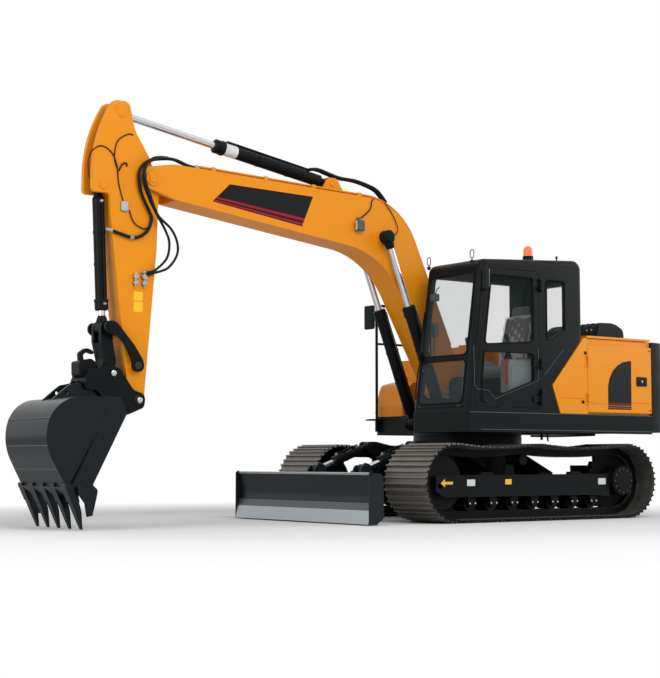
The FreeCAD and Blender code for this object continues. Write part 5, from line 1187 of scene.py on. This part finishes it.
    def belt(self) -> None:
        """Red seat belt that hangs over the front of the outer console."""
        self.slab([(1126, 1488), (1168, 1480), (1172, 1764), (1130, 1764)], FRONT, 443.5, 4, 1)
        self.slab([(300, 1120), (445, 1130), (445, 1172), (300, 1160)], PLAN, 1763.5, 4, 1)
        self.finish("seat_belt", "house", WEBBING)


@dataclass
class Seat(Workshop):
    """Padded cushion, backrest and headrest under a clear film cover."""

    middle: float = 797.5
    pressure: float = 3.0
    stiffness: float = 25.0
    frames: int = 16
    voxel: float = 0.008
    most_move: float = 0.010
    film: tuple[float, float, float, float] = (566, 1716, 1029, 2292)

    def build(self) -> None:
        """Make the pads and the cover."""
        self.block((-104, 553, 1584), (374, 1042, 1696), 24)
        self.pad("seat_cushion_pad", "seat_cushion")
        back = [(-20, 1704), (6, 1712), (4, 1860), (-24, 2010), (-74, 2250), (-92, 2284),
                (-128, 2280), (-134, 2240), (-92, 2000), (-66, 1850), (-62, 1712)]
        head = [(-100, 2300), (-80, 2306), (-92, 2396), (-112, 2406), (-156, 2400),
                (-160, 2310), (-150, 2298)]
        self.slab(back, SIDE, self.middle, 452, 24)
        self.slab(head, SIDE, self.middle, 250, 16)
        for y in (730, 851):
            self.block((-126, y, 2260), (-112, y + 14, 2320), 2)
        self.pad("seat_backrest_pad", "seat_backrest")
        self.cover()

    def pad(self, name: str, node: str) -> None:
        """Puff up the forms drawn so far by cloth pressure, in place of a node.

        Args:
            name: The pad's name.
            node: The frame's node that it replaces.
        """
        bmesh.ops.recalc_face_normals(self.mesh, faces=self.mesh.faces)
        piece = self.bare(name)
        bpy.context.view_layer.objects.active = piece
        remesh = piece.modifiers.new("even_faces", "REMESH")
        remesh.mode = "VOXEL"
        remesh.voxel_size = self.voxel
        settle(piece)
        rest = [v.co.copy() for v in piece.data.vertices]
        cloth = piece.modifiers.new("stuffing", "CLOTH")
        cloth.settings.use_pressure = True
        cloth.settings.uniform_pressure_force = self.pressure
        cloth.settings.effector_weights.gravity = 0
        cloth.settings.tension_stiffness = self.stiffness
        cloth.settings.compression_stiffness = self.stiffness
        cloth.point_cache.frame_start, cloth.point_cache.frame_end = 1, self.frames
        for frame in range(1, self.frames + 1):
            bpy.context.scene.frame_set(frame)
        settle(piece)
        for vert, was in zip(piece.data.vertices, rest):
            move = vert.co - was
            if move.length > self.most_move:
                vert.co = was + move.normalized() * self.most_move
        soft = piece.modifiers.new("soft", "SUBSURF")
        soft.levels = soft.render_levels = 1
        settle(piece)
        piece.data.materials.clear()
        piece.data.materials.append(CLOTH.material())
        piece.data.shade_smooth()
        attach(piece, "house")
        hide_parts(node)
        LOG.info("%s has %d faces", name, len(piece.data.polygons))

    def cover(self) -> None:
        """Loose clear film over the backrest, in many small folds."""
        rows, columns = 26, 22
        right, low, left, high = self.film
        grid = []
        for i in range(rows + 1):
            z = low + (high - low) * i / rows
            lean = 12 - max(z - 1860, 0) * 0.235
            line = []
            for k in range(columns + 1):
                y = right + (left - right) * k / columns
                fold = 5 * math.sin(z / 17 + y / 23) + 4 * math.sin(y / 14 - z / 31)
                bulge = 14 * (1 - ((y - self.middle) / 240) ** 2)
                line.append(self.mesh.verts.new(self.at(lean + bulge + fold - 4, y, z)))
            grid.append(line)
        for a, b in zip(grid, grid[1:]):
            for k in range(columns):
                self.mesh.faces.new([a[k], a[k + 1], b[k + 1], b[k]])
        film = self.finish("seat_film_cover", "house", FILM, 60)


@dataclass
class BoomTrim(Workshop):
    """Side panels with their bands, pin caps, work lamp and hoses."""

    left: float = 140.0
    right: float = -220.0

    def build(self) -> None:
        """Make the boom's pieces."""
        self.panel()
        self.caps()
        self.lamp()
        self.hoses()

    def panel(self) -> None:
        """The dark panel and the two red bands along its lower edge, on both sides."""
        low_a, high_a = (3600, 3325), (3388, 3526)
        low_b, high_b = (2468, 3169), (2322, 3505)
        for side, word in SIDES:
            level = self.left + 0.8 if side > 0 else self.right - 0.8
            self.slab(rounded([low_a, high_a, high_b, low_b], 6), SIDE, level)
            self.finish(word + "_boom_panel", "boom", VINYL)
            for low, high in ((0.03, 0.1), (0.17, 0.26)):
                band = [between(low_a, high_a, low), between(low_a, high_a, high),
                    between(low_b, high_b, high), between(low_b, high_b, low)]
                self.slab(band, SIDE, level + 0.9 * side, 1.0)
            self.finish(word + "_boom_bands", "boom", RED_VINYL)

    def caps(self) -> None:
        """Pin heads with their bolts, and the caps of the lifting cylinders' pins."""
        bolts = []
        x, z, bolt_ring = 4305, 3488, 62
        for side, level in ((1, self.left + 1), (-1, self.right - 1)):
            self.lathe((x, level, z), (0, side, 0), [(0, 0), (0, 78), (9, 78), (12, 74), (12, 40),
                (15, 38), (15, 0)], 32)
            bolts += [(x + bolt_ring * math.cos(a), level + 14 * side,
                z + bolt_ring * math.sin(a)) for a in (0.6, 2.2, 3.9, 5.4)]
        self.finish("boom_pin_caps", "boom", YELLOW, 30)
        self.repeat("boom_cap_bolts", bolts, HEX, (8, 8, 0), (90, 0, 0), "boom", YELLOW)
        for side, level in ((1, 273), (-1, -353)):
            self.lathe((1365, level, 3139), (0, side, 0), [(0, 0), (0, 58), (10, 58), (14, 52),
                (14, 20), (20, 18), (20, 0)], 24)
        self.finish("lift_pin_caps", "boom", BLACK, 30)

    def lamp(self) -> None:
        """Work lamp on the boom's left side with its cable."""
        self.block((1656, self.left + 22, 3180), (1760, self.left + 66, 3300), 10)
        self.block((1690, self.left, 3270), (1728, self.left + 24, 3336), 5)
        self.finish("boom_lamp_shell", "boom", GREY)
        self.block((1758, self.left + 26, 3188), (1766, self.left + 62, 3292), 4)
        self.finish("boom_lamp_lens", "boom", LAMP)
        level = self.left + 9
        self.tube([(1500, level, 3560), (1525, level, 3529), (1533, level, 3462),
            (1587, level, 3401), (1678, level + 10, 3333)], 7)
        self.finish("boom_lamp_cable", "boom", HOSE)

    def hoses(self) -> None:
        """Heavy hoses over the boom's back to the arm cylinder, a grease line, and the couplings
        of the boom's lines.
        """
        over = [(1187, 3580), (1313, 3700), (1481, 3755), (1647, 3782), (1852, 3790), (2014, 3824),
            (2120, 3848), (2190, 3850), (2262, 3836)]
        for off in (-64, -16):
            self.tube([(x, off, z) for x, z in over], 17, 12)
        piece = self.finish("boom_hoses", "", HOSE)
        self.at(1850, -40, 3795)
        self.at(2180, -40, 3850)
        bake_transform(piece)
        self.tube([(1345, 150, 3545), (1230, 150, 3420), (1150, 150, 3270), (1172, 151, 3205),
            (1220, 152, 3172), (1266, 156, 3164)], 5)
        self.finish("lift_pin_grease_line", "boom", HOSE)
        for y in (54, 84, 114):
            self.lathe((3752, y, 3654), (1, 0, 0.1), [(0, 0), (0, 15), (30, 15), (30, 19),
                (58, 19), (58, 0)], 6)
        self.finish("boom_line_couplings", "boom", ZINC)


@dataclass
class ArmTrim(Workshop):
    """Hoses that loop over the arm's pivot, blocks, grease lines and pin caps."""

    left: float = 82.0
    right: float = -162.0

    def build(self) -> None:
        """Make the arm's pieces."""
        self.loops()
        self.blocks()
        self.grease()
        self.caps()

    def loops(self) -> None:
        """Hoses from the boom's tip to the arm, which bend where the two meet."""
        a, b = self.at(4230, 110, 3700), self.at(4330, 110, 2800)
        thick = [(3780, 114, 3654), (3900, 116, 3672), (4010, 114, 3706), (4127, 112, 3712),
            (4322, 118, 3672), (4427, 122, 3591), (4453, 120, 3479), (4416, 116, 3312),
            (4334, 112, 3165), (4298, 108, 3076), (4349, 106, 2947), (4488, 104, 2872),
            (4660, 102, 2903), (4740, 100, 2924)]
        second = [(3780, 84, 3654), (3900, 86, 3680), (4020, 90, 3714), (4140, 110, 3716),
            (4287, 152, 3680), (4392, 156, 3611), (4425, 158, 3467), (4360, 156, 3287),
            (4263, 150, 3126), (4155, 146, 2964), (4108, 140, 2843), (4135, 132, 2685),
            (4275, 120, 2550), (4360, 104, 2535)]
        third = [(3784, 54, 3656), (3900, 50, 3690), (4020, 52, 3724), (4150, 76, 3732),
            (4300, 130, 3694), (4396, 168, 3606), (4418, 186, 3467), (4352, 186, 3287),
            (4263, 180, 3110), (4102, 168, 2984), (4022, 154, 2850), (4021, 140, 2725),
            (4116, 126, 2593), (4275, 116, 2530), (4360, 104, 2500)]
        for name, path, radius in (("arm_hose_cylinder", thick, 17),
                ("arm_hose_upper", second, 13), ("arm_hose_lower", third, 13)):
            self.tube(path, radius, 12)
            piece = self.finish(name, "", HOSE, 60)
            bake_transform(piece)

    def blocks(self) -> None:
        """Clamp blocks, fittings and the junction block on the arm's left side."""
        y = self.left
        for low in (4342, 4440):
            for z in (2400, 2462):
                self.block((low, y, z), (low + 50, y + 38, z + 44), 6)
            self.tube([(low + 25, y + 20, 2380), (low + 25, y + 20, 2525)], 9, 10, False)
        self.block((4560, y, 3130), (4636, y + 26, 3230), 6)
        self.tube([(4500, y + 22, 2870), (4540, y + 22, 2876)], 22, 10, False)
        self.lathe((4730, 101, 2922), (1, -0.35, 0.25), [(0, 0), (0, 21), (26, 21), (26, 15),
            (70, 15), (70, 0)], 6)
        for z in (2535, 2500):
            self.lathe((4356, 104, z), (1, 0, -0.1), [(0, 0), (0, 17), (24, 17), (24, 13),
                (46, 13), (46, 0)], 6)
        self.finish("arm_blocks", "arm", ZINC)
        for low, high in ((2245, 2338), (2132, 2237)):
            self.slab(rounded([(4378, low), (4480, low), (4476, high), (4374, high)], 8), SIDE,
                y + 0.8)
        self.finish("arm_patches", "arm", SIGN_YELLOW)
        self.tube([(4543, y + 12, 3145), (4490, y + 14, 3027), (4385, y + 14, 2974),
            (4330, y + 14, 2994), (4300, y + 14, 3060)], 6)
        self.tube([(4660, y + 8, 3536), (4627, y + 12, 3601), (4585, y + 12, 3618),
            (4572, y + 10, 3585)], 8)
        self.finish("arm_small_lines", "arm", HOSE)

    def grease(self) -> None:
        """Thin grease lines over the arm's head."""
        y = self.left + 8
        self.tube([(4984, y, 3420), (5000, y, 3500), (5000, y, 3618), (4945, y, 3716),
            (4851, y, 3760), (4748, y, 3708), (4688, y, 3594), (4665, y, 3412), (4622, y, 3262),
            (4600, y, 3200)], 6)
        self.tube([(4667, y, 3519), (4713, y, 3653), (4681, y, 3827), (4561, y, 3915),
            (4508, y, 3910)], 6)
        self.finish("arm_grease_lines", "arm", HOSE)

    def caps(self) -> None:
        """Pin heads on the arm's ears."""
        bolts = []
        for x, z, radius in ((4632, 4147, 54), (4829, 3375, 46)):
            for side, level in ((1, self.left + 1), (-1, self.right - 1)):
                self.lathe((x, level, z), (0, side, 0), [(0, 0), (0, radius), (9, radius),
                    (12, radius - 4), (12, 24), (15, 22), (15, 0)], 28)
                bolts.append((x + radius - 14, level + 13 * side, z))
        self.finish("arm_pin_caps", "arm", YELLOW, 30)
        self.repeat("arm_cap_bolts", bolts, HEX, (8, 8, 0), (90, 0, 0), "arm", YELLOW)


@dataclass
class BucketTrim(Workshop):
    """Weld lines over the back, their paleness a painted highlight, and bright pin ends."""

    pivot: tuple[float, float] = (4436.0, 1250.0)
    middle: float = -40.0

    def build(self) -> None:
        """Make the bucket's pieces."""
        px, pz = self.pivot
        # The weld beads are drawn pale grey: a painted highlight on their ridges.
        for dx, dz, half in ((1100, -196, 458), (1117, -454, 456), (1021.5, -675, 467)):
            self.tube([(px + dx, self.middle - half, pz + dz), (px + dx, self.middle, pz + dz),
                (px + dx, self.middle + half, pz + dz)], 4, 8, False)
        self.finish("bucket_weld_lines_painted_highlight", "bucket", GREY, 60)
        for body, word, x, z, faces in (("arm", "arm_end", 4436, 1250, (157, -237)),
                ("bucket", "hitch", 4716, 1510, (134, -214))):
            for level in faces:
                side = 1 if level > 0 else -1
                self.lathe((x, level - side, z), (0, side, 0), [(0, 0), (0, 29), (4, 29), (6, 26),
                    (6, 8), (4, 6), (4, 0)], 24)
            self.finish(word + "_pin_faces", body, BRIGHT)


@dataclass(frozen=True)
class Ram:
    """One kind of cylinder: its pins as (x, z), its sizes, and what its two parts ride on."""

    name: str
    base: Point
    eye: Point
    tube: float
    rod: float
    barrel: float
    boss: float
    wide: float
    levels: tuple[float, ...]
    bodies: tuple[str, str]
    pipe_turn: float | None = None
    neck: float = 62.0

    @property
    def length(self) -> float:
        """From pin to pin."""
        return math.dist(self.base, self.eye)

    @property
    def along(self) -> tuple[float, float, float]:
        """The axis."""
        x, z = ((e - b) / self.length for b, e in zip(self.base, self.eye))
        return (x, 0, z)

    def spot(self, far: float, off: float, level: float, turn: float = 0.0) -> Point:
        """A point beside the axis.

        Args:
            far: How far it lies along the axis, from the base pin.
            off: How far it lies off the axis.
            level: The axis's place on Y.
            turn: Degrees round the axis, from above towards the left.

        Returns:
            The point in millimetres.
        """
        x, _, z = self.along
        up = off * math.cos(math.radians(turn))
        return (self.base[0] + x * far - z * up, level + off * math.sin(math.radians(turn)),
                self.base[1] + z * far + x * up)


@dataclass
class Cylinders(Workshop):
    """Sleeves on the rod eyes, clamps and hard lines on the barrels."""

    rams: tuple[Ram, ...] = (
        Ram("boom", (560, 1090), (1365, 3139), 66, 37, 1388, 74, 90, (225, -305),
            ("boom_barrels", "boom_rods"), 0),
        Ram("arm", (1985, 3705), (4632, 4147), 66, 38, 1512, 74, 92, (-40,),
            ("arm_barrel", "arm_rod")),
        Ram("bucket", (4829, 3375), (4761, 1962), 59, 33, 1240, 62, 96, (-40,),
            ("bucket_barrel", "bucket_rod"), 90),
        Ram("blade", (1150, 812), (1860, 562), 50, 28, 515, 54, 84, (418, -418),
            ("blade_barrels", "blade_rods"), 0, 34))
    clamps: tuple[float, float] = (0.36, 0.62)

    def build(self) -> None:
        """Dress every ram."""
        for ram in self.rams:
            for level in ram.levels:
                self.sleeve(ram, level)
            self.finish(ram.name + "_rod_eyes", ram.bodies[1], BLACK, 40)
            bright = Workshop(self.frame)
            for level in ram.levels:
                self.bands(ram, level)
                if ram.pipe_turn is None:
                    self.hoses(ram, level)
                    bright.lathe(ram.spot(ram.barrel * 0.82, 0, level), ram.along,
                                 [(0, ram.tube), (0, ram.tube + 1.5), (150, ram.tube + 1.5),
                                  (150, ram.tube)], 36, True)
                else:
                    self.pipe(ram, level, bright)
            self.finish(ram.name + "_cylinder_lines", ram.bodies[0], BLACK)
            bright.finish(ram.name + "_cylinder_ports", ram.bodies[0],
                          WHITE_VINYL if ram.pipe_turn is None else ZINC, 25)

    def sleeve(self, ram: Ram, level: float) -> None:
        """Painted eye and neck at the rod's far end.

        Args:
            ram: The kind of cylinder.
            level: Its middle on the Y axis.
        """
        half, boss, rod, neck = ram.wide / 2 + 4.4, ram.boss, ram.rod, ram.neck
        x, _, z = ram.spot(ram.length, 0, 0)
        self.lathe((x, level - half, z), (0, 1, 0),
                   [(0, 38), (0, boss - 4), (4, boss + 1), (half * 2 - 4, boss + 1),
                    (half * 2, boss - 4), (half * 2, 38)], 36, True)
        self.lathe(ram.spot(ram.length - boss - neck, 0, level), ram.along,
                   [(0, rod + 1), (0, rod + 6), (10, rod + 9), (neck - 2, half + 8),
                    (neck + 16, half + 8), (neck + 16, rod + 1)], 28, True)

    def bands(self, ram: Ram, level: float) -> None:
        """Clamp bands and the gland's ring.

        Args:
            ram: The kind of cylinder.
            level: Its middle on the Y axis.
        """
        tube = ram.tube
        for share in self.clamps:
            self.lathe(ram.spot(ram.barrel * share, 0, level), ram.along,
                       [(0, tube - 1), (0, tube + 4), (26, tube + 4), (26, tube - 1)], 28, True)
        self.lathe(ram.spot(ram.barrel - 112, 0, level), ram.along,
                   [(0, tube), (0, tube + 13), (10, tube + 14), (24, tube + 14),
                    (28, tube + 9), (28, tube)], 32, True)

    def hoses(self, ram: Ram, level: float) -> None:
        """Two hard lines side by side along the barrel's top.

        Args:
            ram: The kind of cylinder.
            level: Its middle on the Y axis.
        """
        top = [(far, ram.tube + 16) for far in (262, 500, 900, ram.barrel - 190)]
        top += [(ram.barrel - 150, ram.tube + 14), (ram.barrel - 128, ram.tube - 2)]
        for step in (-24, 24):
            self.tube([ram.spot(far, out, level + step) for far, out in top], 9, 10)

    def pipe(self, ram: Ram, level: float, bright: Workshop) -> None:
        """A steel pipe along the barrel with its clamps, and the ports at both its ends.

        Args:
            ram: The kind of cylinder.
            level: Its middle on the Y axis.
            bright: The workshop that gathers the plated forms.
        """
        off, barrel, boss = ram.tube + 22, ram.barrel, ram.boss
        way = [(boss + 92, ram.tube - 4), (boss + 96, off - 4), (boss + 150, off),
               (barrel * 0.5, off), (barrel - 160, off), (barrel - 74, off + 4),
               (barrel - 66, ram.tube + 4)]
        self.tube([ram.spot(far, out, level, ram.pipe_turn) for far, out in way], 8, 10)
        for share in self.clamps:
            spot = ram.spot(barrel * share + 13, ram.tube + 14, level, ram.pipe_turn)
            self.block([c - 15 for c in spot], [c + 15 for c in spot], 3)
        for far in (boss + 92, barrel - 66):
            start, end = (ram.spot(far, out, level, ram.pipe_turn)
                          for out in (ram.tube - 4, ram.tube - 3))
            bright.lathe(start, [e - s for s, e in zip(start, end)],
                         [(0, 17), (22, 17), (22, 13), (34, 13), (34, 0)], 6)


@dataclass
class Studio(Workshop):
    """Pale floor, soft light and the camera."""

    eye_mm: Point = (11761.0, 13306.0, 661.0)
    heading_deg: float = 36.29
    pitch_deg: float = 4.58
    lens_mm: float = 80.2
    floor_shade: str = "f4f5f6"
    room_light: float = 0.42
    white: Point = (1, 1, 1, 1)
    floor_m: float = 150.0
    fade_from_m: float = 3.6
    fade_to_m: float = 7.5
    lamps: tuple[tuple[str, Point, Point, float, float], ...] = (
        ("key_light", (4200, 9500, 8200), (1500, 0, 1500), 7, 560),
        ("fill_light", (12500, 1500, 4200), (1500, 0, 1500), 6, 300),
        ("rear_light", (-8500, 5500, 5200), (-500, 0, 1500), 6, 280))

    def build(self) -> None:
        """Make the stage."""
        bpy.context.scene.view_settings.view_transform = "Standard"
        a, p = math.radians(self.heading_deg), math.radians(self.pitch_deg)
        ahead = Vector((-math.sin(a) * math.cos(p), -math.cos(a) * math.cos(p), math.sin(p)))
        lens = bpy.data.cameras.new("camera")
        lens.lens, lens.sensor_width, lens.clip_end = self.lens_mm, 36, 400
        bpy.context.scene.camera = self.stand("camera", lens, self.eye_mm, ahead)
        self.make_floor()
        self.make_world()
        for name, spot, target, size, power in self.lamps:
            data = bpy.data.lights.new(name, "AREA")
            data.size, data.energy = size, power
            self.stand(name, data, spot, self.at(*target) - self.at(*spot))

    def stand(self, name: str, data: Any, spot: Point, ahead: Vector) -> bpy.types.Object:
        """Put a camera or lamp on its spot and turn it to look ahead.

        Args:
            name: The object's name.
            data: The camera or lamp itself.
            spot: Where it stands, in millimetres.
            ahead: Where it looks.

        Returns:
            The new object.
        """
        made = bpy.data.objects.new(name, data)
        made.location = self.at(*spot)
        made.rotation_euler = ahead.to_track_quat("-Z", "Y").to_euler()
        bpy.context.scene.collection.objects.link(made)
        return made

    def make_world(self) -> None:
        """Even grey light from all round, and white behind the object."""
        bpy.context.scene.world = bpy.data.worlds.new("soft_room")
        nodes = Nodes.of(bpy.context.scene.world)
        light, white = (nodes.add("ShaderNodeBackground", {"Color": self.white, "Strength": power})
                        for power in (self.room_light, 1.0))
        path = nodes.add("ShaderNodeLightPath").outputs
        through = nodes.maths("MAXIMUM", path["Is Camera Ray"], path["Is Transmission Ray"])
        seen = nodes.maths("MAXIMUM", through, path["Is Glossy Ray"])
        nodes.surface(seen, light, white, "World")

    def make_floor(self) -> None:
        """A wide pale floor that fades into the white far from the machine."""
        bmesh.ops.create_grid(self.mesh, x_segments=1, y_segments=1, size=self.floor_m)
        floor = self.bare("floor")
        paint = bpy.data.materials.new("pale_floor")
        nodes = Nodes.of(paint)
        place = nodes.add("ShaderNodeTexCoord").outputs["Object"]
        far = nodes.add("ShaderNodeVectorMath", {0: place}, operation="LENGTH").outputs["Value"]
        path = nodes.add("ShaderNodeLightPath").outputs["Is Camera Ray"]
        fade = nodes.ranged(far, From_Min=self.fade_from_m, From_Max=self.fade_to_m)
        share = nodes.maths("MULTIPLY", fade, path)
        matt = nodes.add("ShaderNodeBsdfDiffuse", {"Color": linear(self.floor_shade)})
        white = nodes.add("ShaderNodeEmission", {"Color": self.white, "Strength": 1.0})
        nodes.surface(share, matt, white, "Material")
        floor.data.materials.append(paint)


def main() -> None:
    """Build the whole machine's looks in order."""
    logging.basicConfig(level=logging.INFO, format="%(name)s: %(message)s")
    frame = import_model()
    for part in (Studio, Coat, RunningGear, BladeTrim, HouseTrim, CabTrim, Seat, BoomTrim,
                 ArmTrim, BucketTrim, Cylinders):
        part(frame).build()


if __name__ == "__main__":
    main()
